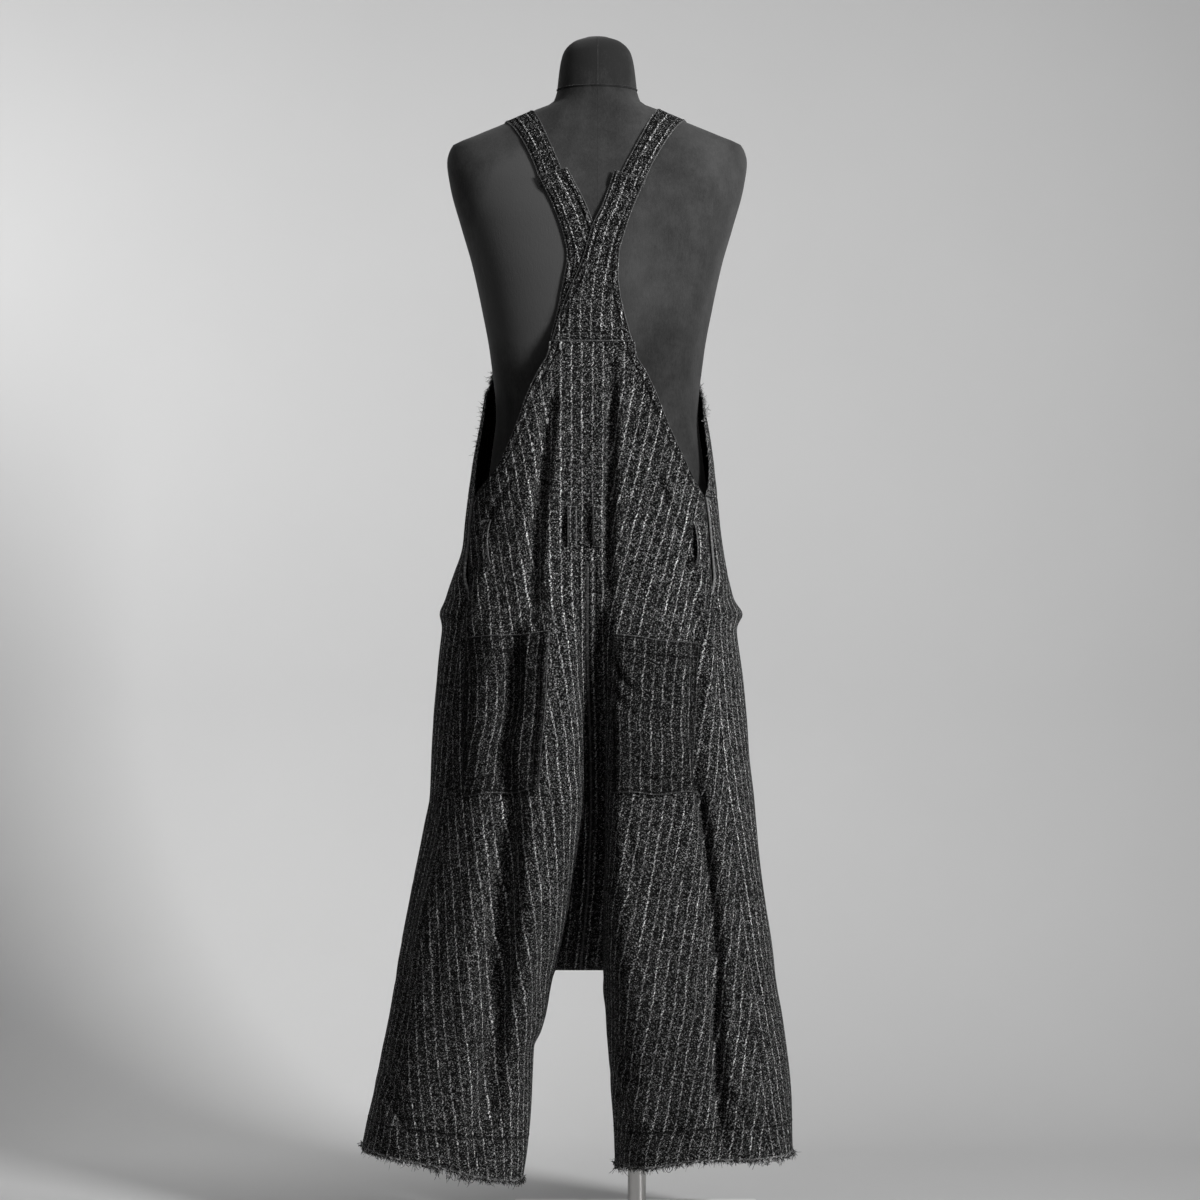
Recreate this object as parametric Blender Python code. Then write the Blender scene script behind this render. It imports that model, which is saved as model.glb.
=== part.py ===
"""Bib overalls in striped wool tweed on a limbless dress form with a steel stand.

Metres, +Z up, the floor at z = 0. The garment faces -Y, so the wearer's left is +X.
The cloth is worked out from rings round the body. A ring is drawn for each side of the
body from the centre back (turn 0) past the hip (turn 1) to the centre front (turn 2), and
below the fork the same ring closes on itself as that side's leg.
"""

import math
from collections import namedtuple

import bmesh
import bpy
import numpy as np
from mathutils import Vector

# ---- driving sizes ----
LEFT, RIGHT = 1.0, -1.0  # side of the body: the wearer's left is +X
CLOTH = 0.0022  # thickness of the tweed
STRAP_CLOTH = 0.0030  # a strap is folded double
SEAM = 0.0003  # gap left between pieces that are sewn together
FORK = 0.354  # height of the fork, where the legs part
WAIST = 1.004  # height of the seam between the bib and the trouser fronts
YOKE = 1.212  # height of the seam between the back panels and the straps
BIB_TOP = 1.315
SLIT_END = 0.868  # lower end of the side slits
HEM = 0.100  # nominal height of the hems, which the Hem tables vary
STEADY = 0.200  # above this height the hems' slope has died out

# ---- tables ----
# A row of Side is a height on one side of the body. Its lengths are distances out from the
# middle plane: the inner wall of the leg, which above the fork stands beside a web of cloth,
# the ridge where the back stands furthest out, the outermost cloth, and the back panel's
# outer edge.
Side = namedtuple("Side", "height wall ridge outer edge")
LEFT_ROWS = (
    Side(0.070, 0.1020, 0.215, 0.330, 0.284),
    Side(0.110, 0.0960, 0.210, 0.324, 0.279),
    Side(0.167, 0.0910, 0.203, 0.312, 0.271),
    Side(0.223, 0.0880, 0.196, 0.301, 0.263),
    Side(0.250, 0.0860, 0.178, 0.296, 0.259),
    Side(0.272, 0.0750, 0.168, 0.291, 0.256),
    Side(0.300, 0.0670, 0.155, 0.285, 0.251),
    Side(0.330, 0.0620, 0.140, 0.280, 0.247),
    Side(0.345, 0.0590, 0.132, 0.277, 0.244),
    Side(FORK, 0.0560, 0.126, 0.276, 0.242),
    Side(0.374, 0.0520, 0.118, 0.273, 0.241),
    Side(0.448, 0.0370, 0.092, 0.259, 0.231),
    Side(0.506, 0.0270, 0.074, 0.247, 0.219),
    Side(0.557, 0.0190, 0.064, 0.237, 0.209),
    Side(0.600, 0.0140, 0.052, 0.230, 0.202),
    Side(0.700, 0.0100, 0.050, 0.227, 0.194),
    Side(0.755, 0.0120, 0.052, 0.222, 0.189),
    Side(0.820, 0.0130, 0.056, 0.213, 0.184),
    Side(0.862, 0.0130, 0.060, 0.208, 0.180),
    Side(0.900, 0.0130, 0.064, 0.197, 0.177),
    Side(0.940, 0.0130, 0.068, 0.186, 0.173),
    Side(0.978, 0.0130, 0.070, 0.183, 0.170),
    Side(1.004, 0.0130, 0.072, 0.180, 0.166),
    Side(1.016, 0.0130, 0.073, 0.178, 0.158),
    Side(1.032, 0.0130, 0.074, 0.175, 0.145),
    Side(1.050, 0.0130, 0.075, 0.172, 0.132),
    Side(1.077, 0.0130, 0.075, 0.167, 0.119),
    Side(1.107, 0.0130, 0.075, 0.161, 0.107),
    Side(1.139, 0.0130, 0.075, 0.155, 0.096),
    Side(1.171, 0.0130, 0.075, 0.150, 0.081),
    Side(1.196, 0.0130, 0.075, 0.150, 0.067),
    Side(1.215, 0.0130, 0.075, 0.150, 0.064),
    Side(1.260, 0.0130, 0.075, 0.160, 0.064),
    Side(1.330, 0.0130, 0.075, 0.176, 0.064),
)
RIGHT_ROWS = (
    Side(0.070, 0.0260, 0.138, 0.272, 0.240),
    Side(0.110, 0.0250, 0.137, 0.270, 0.234),
    Side(0.167, 0.0220, 0.135, 0.268, 0.227),
    Side(0.223, 0.0190, 0.131, 0.263, 0.221),
    Side(0.250, 0.0170, 0.120, 0.260, 0.218),
    Side(0.272, 0.0150, 0.112, 0.257, 0.215),
    Side(0.300, 0.0130, 0.100, 0.253, 0.212),
    Side(0.330, 0.0090, 0.086, 0.248, 0.208),
    Side(0.345, 0.0100, 0.076, 0.246, 0.206),
    Side(FORK, 0.0096, 0.070, 0.245, 0.205),
    Side(0.374, 0.0095, 0.062, 0.243, 0.202),
    Side(0.448, 0.0090, 0.046, 0.233, 0.195),
    Side(0.506, 0.0095, 0.038, 0.225, 0.188),
    Side(0.557, 0.0105, 0.036, 0.221, 0.181),
    Side(0.600, 0.0115, 0.036, 0.216, 0.176),
    Side(0.700, 0.0125, 0.040, 0.205, 0.167),
    Side(0.755, 0.0120, 0.044, 0.200, 0.164),
    Side(0.820, 0.0070, 0.048, 0.191, 0.161),
    Side(0.862, -0.0030, 0.052, 0.187, 0.158),
    Side(0.900, -0.0130, 0.058, 0.180, 0.156),
    Side(0.940, -0.0130, 0.064, 0.174, 0.152),
    Side(0.978, -0.0130, 0.068, 0.169, 0.149),
    Side(1.004, -0.0130, 0.071, 0.166, 0.145),
    Side(1.016, -0.0130, 0.072, 0.165, 0.139),
    Side(1.032, -0.0130, 0.073, 0.163, 0.130),
    Side(1.050, -0.0130, 0.074, 0.161, 0.121),
    Side(1.077, -0.0130, 0.075, 0.157, 0.108),
    Side(1.107, -0.0130, 0.075, 0.152, 0.095),
    Side(1.139, -0.0130, 0.075, 0.147, 0.082),
    Side(1.171, -0.0130, 0.075, 0.145, 0.067),
    Side(1.196, -0.0130, 0.075, 0.146, 0.053),
    Side(1.215, -0.0130, 0.075, 0.147, 0.051),
    Side(1.260, -0.0130, 0.075, 0.158, 0.051),
    Side(1.330, -0.0130, 0.075, 0.174, 0.051),
)

# A row of Depth is a height of the whole body: the X of the centre seams, where the back, the
# centre back seam, the front and the centre front seam lie along Y, and how the cloth runs
# from the web to the ridge. A softness of 2 makes a soft trough there, and 0.5 the round
# inside of a leg.
Depth = namedtuple("Depth", "height middle back seat front fork softness")
DEPTHS = (
    Depth(0.070, 0.0234, 0.090, 0.000, -0.096, 0.000, 0.5),
    Depth(0.200, 0.0234, 0.104, 0.000, -0.110, 0.000, 0.5),
    Depth(0.300, 0.0234, 0.112, 0.000, -0.120, 0.000, 0.5),
    Depth(0.345, 0.0234, 0.115, 0.000, -0.123, 0.000, 0.5),
    Depth(FORK, 0.0234, 0.116, CLOTH, -0.124, -CLOTH, 0.55),
    Depth(0.357, 0.0230, 0.116, 0.008, -0.124, -0.008, 0.57),
    Depth(0.364, 0.0220, 0.117, 0.018, -0.125, -0.018, 0.6),
    Depth(0.380, 0.0205, 0.118, 0.028, -0.127, -0.030, 0.60),
    Depth(0.420, 0.0165, 0.121, 0.040, -0.131, -0.050, 0.60),
    Depth(0.500, 0.0105, 0.127, 0.052, -0.138, -0.074, 0.62),
    Depth(0.600, 0.0080, 0.131, 0.066, -0.143, -0.096, 0.65),
    Depth(0.700, 0.0100, 0.133, 0.084, -0.146, -0.118, 0.75),
    Depth(0.800, 0.0130, 0.132, 0.104, -0.148, -0.138, 0.90),
    Depth(0.870, 0.0130, 0.128, 0.117, -0.148, -0.145, 1.30),
    Depth(0.950, 0.0130, 0.122, 0.119, -0.146, -0.145, 2.0),
    Depth(1.050, 0.0130, 0.115, 0.114, -0.143, -0.142, 2.0),
    Depth(1.150, 0.0130, 0.110, 0.110, -0.138, -0.138, 2.0),
    Depth(1.215, 0.0130, 0.108, 0.108, -0.134, -0.134, 2.0),
    Depth(1.260, 0.0130, 0.110, 0.110, -0.132, -0.132, 2.0),
    Depth(1.330, 0.0130, 0.114, 0.114, -0.132, -0.132, 2.0),
)
HIP_LINE = -0.008  # Y of the outermost cloth
CORNER = 2.3  # exponent of the rings' outer quarters: 2 is an ellipse
WEB_SHARE = 0.08  # share of a turn that runs over the web, from the centre seam to the wall
WEB_LEAST = 0.007  # width the web keeps where it runs out above the seat
ROUND_SOFTNESS = 0.5  # softness of a round
SOFTENED = {LEFT: 1.0, RIGHT: 0.4}  # how much of the trough's softness each side has
INNER_SHARE = 0.4  # share of a turn that runs from the centre seam to the ridge

# The hems dip and rise: their height at each distance out from the middle plane.
Hem = namedtuple("Hem", "out height")
LEFT_HEM = (Hem(0.100, 0.070), Hem(0.135, 0.077), Hem(0.220, 0.100), Hem(0.325, 0.116))
RIGHT_HEM = (Hem(0.025, 0.092), Hem(0.070, 0.096), Hem(0.145, 0.108), Hem(0.270, 0.107))

# A row of Fold is a soft trough, or a ridge where its depth is negative, from one height to
# a lower one. Its lengths are distances out, and it dies away over its ends.
Fold = namedtuple("Fold", "side face top_out top bottom_out bottom width depth")
FOLDS = (
    Fold(RIGHT, "back", 0.019, 1.190, 0.013, 0.840, 0.009, 0.009),
    Fold(LEFT, "back", 0.060, 1.170, 0.089, 0.820, 0.014, 0.005),
    Fold(LEFT, "back", 0.113, 0.850, 0.125, 0.560, 0.017, 0.012),
    Fold(LEFT, "back", 0.119, 0.620, 0.153, 0.090, 0.020, 0.014),
    Fold(RIGHT, "back", 0.134, 0.660, 0.172, 0.080, 0.014, 0.013),
    Fold(LEFT, "front", 0.085, 0.900, 0.150, 0.120, 0.024, 0.012),
    Fold(RIGHT, "front", 0.075, 0.860, 0.130, 0.100, 0.022, 0.013),
    Fold(RIGHT, "front", 0.140, 0.700, 0.200, 0.250, 0.020, 0.010),
)
FOLD_ENDS = 0.09  # length over which a fold dies away

# Each side pocket's mouth gapes and pushes the cloth out where its side slit ends.
GAPE_HEIGHT = {LEFT: 0.846, RIGHT: 0.845}
GAPE = {LEFT: 0.006, RIGHT: 0.011}
GAPE_REACH = 0.013

# The dress form's sections.
Section = namedtuple("Section", "height half_width front back square")
TORSO = (
    Section(0.800, 0.150, -0.078, 0.088, 2.3),
    Section(0.815, 0.158, -0.088, 0.100, 2.3),
    Section(0.860, 0.166, -0.098, 0.108, 2.3),
    Section(0.910, 0.167, -0.102, 0.108, 2.3),
    Section(0.990, 0.155, -0.102, 0.098, 2.3),
    Section(1.064, 0.145, -0.100, 0.088, 2.4),
    Section(1.117, 0.139, -0.102, 0.085, 2.4),
    Section(1.200, 0.147, -0.110, 0.096, 2.5),
    Section(1.266, 0.159, -0.118, 0.104, 2.5),
    Section(1.325, 0.172, -0.122, 0.108, 2.5),
    Section(1.375, 0.1865, -0.118, 0.107, 2.4),
    Section(1.432, 0.202, -0.100, 0.095, 2.3),
    Section(1.466, 0.2065, -0.078, 0.080, 2.2),
    Section(1.488, 0.200, -0.062, 0.068, 2.1),
    Section(1.503, 0.168, -0.056, 0.062, 2.0),
    Section(1.518, 0.131, -0.053, 0.058, 2.0),
    Section(1.529, 0.105, -0.052, 0.056, 2.0),
    Section(1.538, 0.085, -0.052, 0.055, 2.0),
    Section(1.548, 0.061, -0.053, 0.054, 2.0),
    Section(1.564, 0.0548, -0.054, 0.052, 2.0),
)
NECK_CAP = (
    Section(1.564, 0.0552, -0.0543, 0.0523, 2.0),
    Section(1.599, 0.0510, -0.052, 0.048, 2.0),
    Section(1.616, 0.0468, -0.049, 0.044, 2.0),
    Section(1.6245, 0.0415, -0.043, 0.037, 2.0),
    Section(1.633, 0.0310, -0.033, 0.025, 2.0),
    Section(1.639, 0.0140, -0.016, 0.010, 2.0),
)
ROUND_FORM = 44  # facets round the form

# The two back straps run from a join below the shoulder to the yoke and cross, the one from
# the right shoulder over the other. Edges are X, left and right of the strap's middle.
Strap = namedtuple("Strap", "height left right")
UNDER_STRAP = (
    Strap(1.212, 0.0640, -0.0470),
    Strap(1.262, 0.0520, -0.0300),
    Strap(1.302, 0.0445, -0.0190),
    Strap(1.327, 0.0405, -0.0110),
    Strap(1.353, 0.0450, -0.0010),
    Strap(1.392, 0.0585, 0.0150),
    Strap(1.436, 0.0790, 0.0400),
)
OVER_STRAP = (
    Strap(1.212, 0.0620, -0.0480),
    Strap(1.248, 0.0510, -0.0380),
    Strap(1.277, 0.0400, -0.0315),
    Strap(1.302, 0.0280, -0.0290),
    Strap(1.327, 0.0180, -0.0300),
    Strap(1.363, 0.0070, -0.0390),
    Strap(1.392, -0.0080, -0.0490),
    Strap(1.432, -0.0230, -0.0660),
)
STRAP_SLOPE = 0.011  # how much higher a strap's inner corner is than its outer one
JOIN_GAP = 0.0011  # between a back strap's end and the shoulder strap's, which slope a little
ON_FORM = 0.0008  # clearance between the form and cloth that rests on it
ON_SHOULDER = 0.0012  # the same on the shoulder, whose facets curve more
STRAP_LIFT = STRAP_CLOTH + SEAM  # the over strap lies on the under strap
LIFT_FROM, LIFT_TO = 1.385, 1.430
YOKE_BLEND = 0.055  # over this height a strap passes from the form to the panels

# A shoulder strap goes on over the shoulder and down to its button on the bib. The angle is
# read about a point inside the shoulder: 0 is straight back, 90 up and 180 forward.
Station = namedtuple("Station", "angle middle half_width")
SHOULDER_STRAPS = {
    LEFT: (
        Station(4.0, 0.0595, 0.0170),
        Station(45.0, 0.0830, 0.0175),
        Station(85.0, 0.1075, 0.0190),
        Station(130.0, 0.1120, 0.0190),
        Station(180.0, 0.1060, 0.0190),
        Station(230.0, 0.0960, 0.0190),
    ),
    RIGHT: (
        Station(2.0, 0.0445, 0.0180),
        Station(45.0, 0.0760, 0.0180),
        Station(85.0, 0.1030, 0.0190),
        Station(130.0, 0.1080, 0.0190),
        Station(180.0, 0.1030, 0.0190),
        Station(230.0, 0.0940, 0.0190),
    ),
}
SHOULDER_PIVOT = 1.425  # height of the point that the angles are read about
STRAP_SEARCH_FROM = 0.02  # reach from the pivot at which a strap is still inside the form
STRAP_SEARCH_STEP, STRAP_SEARCH_STEPS = 0.0005, 700  # it is let out by this until it is clear
STRAP_PULLS = 400  # rounds of pulling a strap straight where it spans a hollow

# Patch pockets, by their corners: distance out and height, top inner to bottom inner.
Corner = namedtuple("Corner", "out height")
POCKETS = {
    LEFT: (Corner(0.062, 0.823), Corner(0.176, 0.815), Corner(0.180, 0.601), Corner(0.077, 0.612)),
    RIGHT: (Corner(0.024, 0.820), Corner(0.140, 0.806), Corner(0.131, 0.606), Corner(0.022, 0.607)),
}

# Belt loops: distance out, height of the top and bottom, on the back panels.
Loop = namedtuple("Loop", "name side out top bottom")
LOOPS = (
    Loop("loop_back_left", LEFT, 0.0335, 0.990, 0.935),
    Loop("loop_back_right", RIGHT, 0.0010, 0.990, 0.935),
    Loop("loop_side_left", LEFT, 0.1480, 0.972, 0.914),
    Loop("loop_side_right", RIGHT, 0.1360, 0.967, 0.909),
)
ON_PANEL = 0.0008  # clearance under what lies on a panel, whose facets are a little twisted
LOOP_WIDTH = 0.013
LOOP_CLOTH = 0.0016
LOOP_BOW = 0.0065  # how far the middle of a loop stands off the panel

FRINGE_REACH = 0.012
FRINGE_CLOTH = 0.0012
BUTTON_RADIUS = 0.0125
BUTTON_THICK = 0.0035
BUTTON_DISH = 0.0010
ROUND_BUTTON = 24  # facets round a button
BUTTON_CLEAR = 0.0007  # clearance under a button, on the slightly curved strap
BUTTON_HEIGHT = 1.288

BASE_SIDE = 0.344
BASE_THICK = 0.008
BASE_CORNER = 0.004
POLE_X = -0.055
POLE_RADIUS = 0.0125
SOCKET_RADIUS = 0.032
SOCKET_THICK = 0.014

# ---- colours ----
Finish = namedtuple("Finish", "colour roughness metallic")
FINISHES = {
    "tweed": Finish((0.030, 0.030, 0.032), 0.95, 0.0),
    "form_cloth": Finish((0.022, 0.022, 0.023), 0.85, 0.0),
    "button": Finish((0.035, 0.033, 0.032), 0.40, 0.0),
    "fringe": Finish((0.300, 0.300, 0.300), 0.95, 0.0),
    "steel": Finish((0.620, 0.620, 0.610), 0.30, 1.0),
    "base_paint": Finish((0.700, 0.700, 0.690), 0.45, 0.0),
}


def clear_scene():
    for thing in list(bpy.data.objects):
        bpy.data.objects.remove(thing, do_unlink=True)


def finish(name):
    if name in bpy.data.materials:
        return bpy.data.materials[name]
    material = bpy.data.materials.new(name)
    material.use_nodes = True
    shader = material.node_tree.nodes["Principled BSDF"]
    look = FINISHES[name]
    shader.inputs["Base Color"].default_value = (*look.colour, 1.0)
    shader.inputs["Roughness"].default_value = look.roughness
    shader.inputs["Metallic"].default_value = look.metallic
    return material


def along(table, column, height):
    """A column of a table at any height: a smooth curve through its rows, with no overshoot."""
    at = np.array([row[0] for row in table])
    value = np.array([getattr(row, column) for row in table])
    height = np.clip(np.asarray(height, float), at[0], at[-1])
    step = np.diff(at)
    rise = np.diff(value) / step
    slope = np.zeros_like(value)
    same = rise[:-1] * rise[1:] > 0
    slope[1:-1][same] = 2 * (rise[:-1] * rise[1:])[same] / (rise[:-1] + rise[1:])[same]
    slope[0], slope[-1] = rise[0], rise[-1]
    i = np.clip(np.searchsorted(at, height) - 1, 0, len(step) - 1)
    t = (height - at[i]) / step[i]
    start = value[i] * (1 + 2 * t) + slope[i] * step[i] * t
    end = value[i + 1] * (3 - 2 * t) - slope[i + 1] * step[i] * (1 - t)
    return start * (1 - t) ** 2 + end * t**2


def rows_of(side):
    return LEFT_ROWS if side == LEFT else RIGHT_ROWS


def widths(side, height):
    """Distances out, at these heights, of the inner seam, the wall, the ridge and the outside."""
    wall_out, ridge, outer = (along(rows_of(side), c, height) for c in ("wall", "ridge", "outer"))
    middle = side * along(DEPTHS, "middle", height)
    inner = np.where(height < FORK, wall_out, middle)
    wall_out = np.where(height < FORK, wall_out, np.maximum(wall_out, middle + WEB_LEAST))
    return inner, wall_out, ridge, outer


def quarter(turned, start, end):
    """The angle of a quarter circle at a place between two turns."""
    return 0.5 * math.pi * np.clip((turned - start) / (end - start), 0.0, 1.0)


def smoothstep(low, high, value):
    t = np.clip((value - low) / (high - low), 0.0, 1.0)
    return t * t * (3 - 2 * t)


def folded(side, face, out, height):
    """How far the folds of one face press the cloth in at a place."""
    total = np.zeros_like(out)
    for fold in FOLDS:
        if (fold.side, fold.face) != (side, face):
            continue
        share = (fold.top - height) / (fold.top - fold.bottom)
        middle = fold.top_out + (fold.bottom_out - fold.top_out) * share
        ends = smoothstep(fold.top, fold.top - FOLD_ENDS, height)
        ends = ends * smoothstep(fold.bottom, fold.bottom + FOLD_ENDS, height)
        total = total + fold.depth * ends * np.exp(-(((out - middle) / fold.width) ** 2))
    return total


def ring(side, height, turn):
    """The outer face of the cloth: points at these heights and turns, as an array (..., 3)."""
    height, turn = np.broadcast_arrays(np.asarray(height, float), np.asarray(turn, float))
    inner, wall_out, ridge, outer = widths(side, height)
    behind = turn <= 1.0
    turned = np.where(behind, turn, 2.0 - turn)
    face = np.where(behind, along(DEPTHS, "back", height), along(DEPTHS, "front", height))
    seam = np.where(behind, along(DEPTHS, "seat", height), along(DEPTHS, "fork", height))
    web = np.clip(turned / WEB_SHARE, 0.0, 1.0)
    near = np.cos(quarter(turned, WEB_SHARE, INNER_SHARE))
    far = np.sin(quarter(turned, INNER_SHARE, 1.0))
    out = ridge - (ridge - wall_out) * near + (outer - ridge) * far - (wall_out - inner) * (1 - web)
    softness = along(DEPTHS, "softness", height) - ROUND_SOFTNESS
    rise = (1.0 - near**2) ** (ROUND_SOFTNESS + SOFTENED[side] * softness)
    corner = np.maximum(1.0 - far**CORNER, 0.0) ** (1.0 / CORNER)
    deep = np.where(
        turned < INNER_SHARE, seam + (face - seam) * rise, HIP_LINE + (face - HIP_LINE) * corner
    )
    pressed = np.where(
        behind, -folded(side, "back", out, height), folded(side, "front", out, height)
    )
    deep = deep + pressed * corner * rise
    gape = (height - GAPE_HEIGHT[side]) / GAPE_REACH
    out = out + GAPE[side] * np.exp(-(gape**2)) * far**8
    return np.stack([side * out, deep, height], axis=-1)


def turn_at(side, height, out):
    """The turn on the back of the ring at a distance out."""
    inner, wall_out, ridge, outer = widths(side, height)
    web = np.clip((out - inner) / np.maximum(wall_out - inner, 1e-9), 0.0, 1.0)
    near = np.arccos(np.clip((ridge - out) / (ridge - wall_out), 0.0, 1.0)) / (0.5 * math.pi)
    far = np.arcsin(np.clip((out - ridge) / (outer - ridge), 0.0, 1.0)) / (0.5 * math.pi)
    return WEB_SHARE * web + (INNER_SHARE - WEB_SHARE) * near + (1 - INNER_SHARE) * far


def normals(side, height, turn):
    """Level unit normals of the ring's outer face."""
    low, high = np.clip(turn - 1e-3, 0.0, 2.0), np.clip(turn + 1e-3, 0.0, 2.0)
    across = ring(side, height, high) - ring(side, height, low)
    normal = np.cross([0.0, 0.0, side], across)
    return normal / np.linalg.norm(normal, axis=-1, keepdims=True)


def hem_drop(side, nominal, turn):
    """A row's true heights: near the hem the rows follow its slope."""
    out = side * ring(side, HEM, turn)[..., 0]
    hem = along(LEFT_HEM if side == LEFT else RIGHT_HEM, "height", out)
    share = np.clip((STEADY - nominal) / (STEADY - HEM), 0.0, None)
    return np.where(nominal < STEADY, STEADY - (STEADY - hem) * share, nominal)


def build(name, points, faces, look):
    mesh = bpy.data.meshes.new(name)
    mesh.from_pydata([tuple(p) for p in points], [], faces)
    mesh.materials.append(finish(look))
    work = bmesh.new()
    work.from_mesh(mesh)
    bmesh.ops.recalc_face_normals(work, faces=work.faces)
    work.to_mesh(mesh)
    work.free()
    mesh.shade_smooth()
    mesh.set_sharp_from_angle(angle=math.radians(40))
    thing = bpy.data.objects.new(name, mesh)
    bpy.context.scene.collection.objects.link(thing)
    return thing


def wall(name, outer, inner, look="tweed", closed=False):
    """A wall between two grids of points. A closed one's columns join up into a tube."""
    rows, columns = outer.shape[:2]
    points = np.concatenate([outer.reshape(-1, 3), inner.reshape(-1, 3)])
    back = rows * columns
    faces = []
    steps = columns if closed else columns - 1
    for r in range(rows - 1):
        for c in range(steps):
            a, b = r * columns + c, r * columns + (c + 1) % columns
            d, e = a + columns, b + columns
            faces += [(a, b, e, d), (back + a, back + d, back + e, back + b)]
    for r in (0, rows - 1):
        for c in range(steps):
            a, b = r * columns + c, r * columns + (c + 1) % columns
            faces.append((a, back + a, back + b, b))
    if not closed:
        for c in (0, columns - 1):
            for r in range(rows - 1):
                a, d = r * columns + c, (r + 1) * columns + c
                faces.append((a, d, back + d, back + a))
    return build(name, points, faces, look)


def turns_of(nominal, edge, columns):
    """Turns from the inner seam out to an edge, for rows of heights. Above the fork the first
    column is the web, and below it the columns close up on the leg's inner seam."""
    column = np.arange(columns + 1)[None, :]
    lag = np.where(nominal < FORK, COLUMN_LAG * smoothstep(LAG_FROM, FORK, nominal), 1.0)
    share = np.maximum(column - lag, 0.0) / (columns - lag)
    turned = WEB_SHARE + (edge - WEB_SHARE) * share
    return np.where((column == 0) & (nominal >= FORK), 0.0, turned)


def panel(side, heights, edge, columns, face):
    """A panel's outer points and normals. The edge is a function of height, as turns away from
    the inner seam. The face is 1 for a back and -1 for a front."""
    nominal = np.asarray(heights, float)[:, None]
    turned = turns_of(nominal, edge(nominal), columns)
    turn = turned if face > 0 else 2.0 - turned
    height = hem_drop(side, nominal + 0.0 * turn, turn)
    open_seams = np.array([side, face, 0.0]) * SEAM / 2
    return ring(side, height, turn) + open_seams, normals(side, height, turn)


def spread(*parts):
    """Heights from (start, end, count) parts, with no height twice."""
    runs = [np.linspace(start, end, count, endpoint=False) for start, end, count in parts]
    return np.concatenate([*runs, [parts[-1][1]]])


LEG_HEIGHTS = ((HEM, 0.310, 5), (0.310, FORK - 0.003, 3), (FORK - 0.003, FORK, 1))
SEAT_PARTS = 0.690  # where the fronts' upper solids begin
SEAT_HEIGHTS = ((FORK, 0.380, 3), (0.380, SEAT_PARTS, 7), (SEAT_PARTS, SLIT_END, 4))
BACK_HEIGHTS = spread(*LEG_HEIGHTS, *SEAT_HEIGHTS, (SLIT_END, YOKE - SEAM, 11))
LOW_LEG = spread((HEM, 0.310, 5), (0.310, FORK - SEAM, 3))
# A panel that bends round more than one hollow is several solids, which meet in a line round it.
FRONTS = {
    "": spread(SEAT_HEIGHTS[2], (SLIT_END, WAIST - SEAM, 4)),
    "_seat": spread(SEAT_HEIGHTS[0], (0.380, SEAT_PARTS - SEAM, 7)),
    "_leg": LOW_LEG,
}
BACKS = {
    "": spread((SLIT_END, YOKE - SEAM, 11)),
    "_seat": spread(*SEAT_HEIGHTS[:2], (SEAT_PARTS, SLIT_END - SEAM, 4)),
    "_leg": LOW_LEG,
}
BACK_COLUMNS = 13
FRONT_COLUMNS = 11
COLUMN_LAG = 0.85  # how far the columns are drawn in just below the fork
LAG_FROM = 0.250  # height where that begins
SLIT_TURN = 0.012  # share of a turn that a side slit stands open
SLIT_RISE = 0.030  # height over which it opens


def back_edge(side):
    return lambda height: turn_at(side, height, along(rows_of(side), "edge", height))


def front_edge(side):
    """The front's side edge: above the end of the side slit it stands a little off the back's."""

    def edge(height):
        open_up = SLIT_TURN * smoothstep(SLIT_END, SLIT_END + SLIT_RISE, height)
        return 2.0 - back_edge(side)(height) - open_up

    return edge


def back_panel(side, heights=BACK_HEIGHTS):
    return panel(side, heights, back_edge(side), BACK_COLUMNS, 1.0)


def make_back(side, name, heights):
    outer, normal = back_panel(side, heights)
    wall(name, outer, outer - CLOTH * normal)


def make_front(side, name, heights):
    outer, normal = panel(side, heights, front_edge(side), FRONT_COLUMNS, -1.0)
    wall(name, outer, outer - CLOTH * normal)


def on_panel(grid, row, column):
    """A place on a panel's facets, from its row and column with their fractions."""
    r = np.clip(np.floor(row).astype(int), 0, grid.shape[0] - 2)
    c = np.clip(np.floor(column).astype(int), 0, grid.shape[1] - 2)
    v, u = (row - r)[..., None], (column - c)[..., None]
    low = grid[r, c] * (1 - u) + grid[r, c + 1] * u
    high = grid[r + 1, c] * (1 - u) + grid[r + 1, c + 1] * u
    return low * (1 - v) + high * v


def back_place(side, out, height):
    """The row and column, with their fractions, of a place on a back panel above the fork."""
    row = np.interp(height, BACK_HEIGHTS, np.arange(len(BACK_HEIGHTS)))
    turn = turn_at(side, height, out)
    past_web = (turn - WEB_SHARE) / (back_edge(side)(height) - WEB_SHARE)
    column = np.where(turn < WEB_SHARE, turn / WEB_SHARE, 1.0 + past_web * (BACK_COLUMNS - 1))
    return row, column


def whole_steps(start, end):
    """From start to end through every whole number between."""
    inside = np.arange(np.ceil(start + 0.25), np.floor(end - 0.25) + 1)
    return np.concatenate([[start], inside, [end]])


def make_pocket(side, name):
    """A patch made from the back panel's own points, moved out."""
    grid, normal = back_panel(side)
    places = [back_place(side, corner.out, corner.height) for corner in POCKETS[side]]
    (top_in, top_out, low_out, low_in) = [(float(r), float(c)) for r, c in places]
    rows = whole_steps(min(low_in[0], low_out[0]), max(top_in[0], top_out[0]))
    columns = whole_steps((low_in[1] + top_in[1]) / 2, (low_out[1] + top_out[1]) / 2)
    row, column = np.meshgrid(rows, columns, indexing="ij")
    share = (column - columns[0]) / (columns[-1] - columns[0])
    row = np.where(row == rows[-1], top_in[0] + (top_out[0] - top_in[0]) * share, row)
    row = np.where(row == rows[0], low_in[0] + (low_out[0] - low_in[0]) * share, row)
    away = on_panel(normal, row, column)
    inner = on_panel(grid, row, column) + ON_PANEL * away
    wall(name, inner + CLOTH * away, inner)


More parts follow.
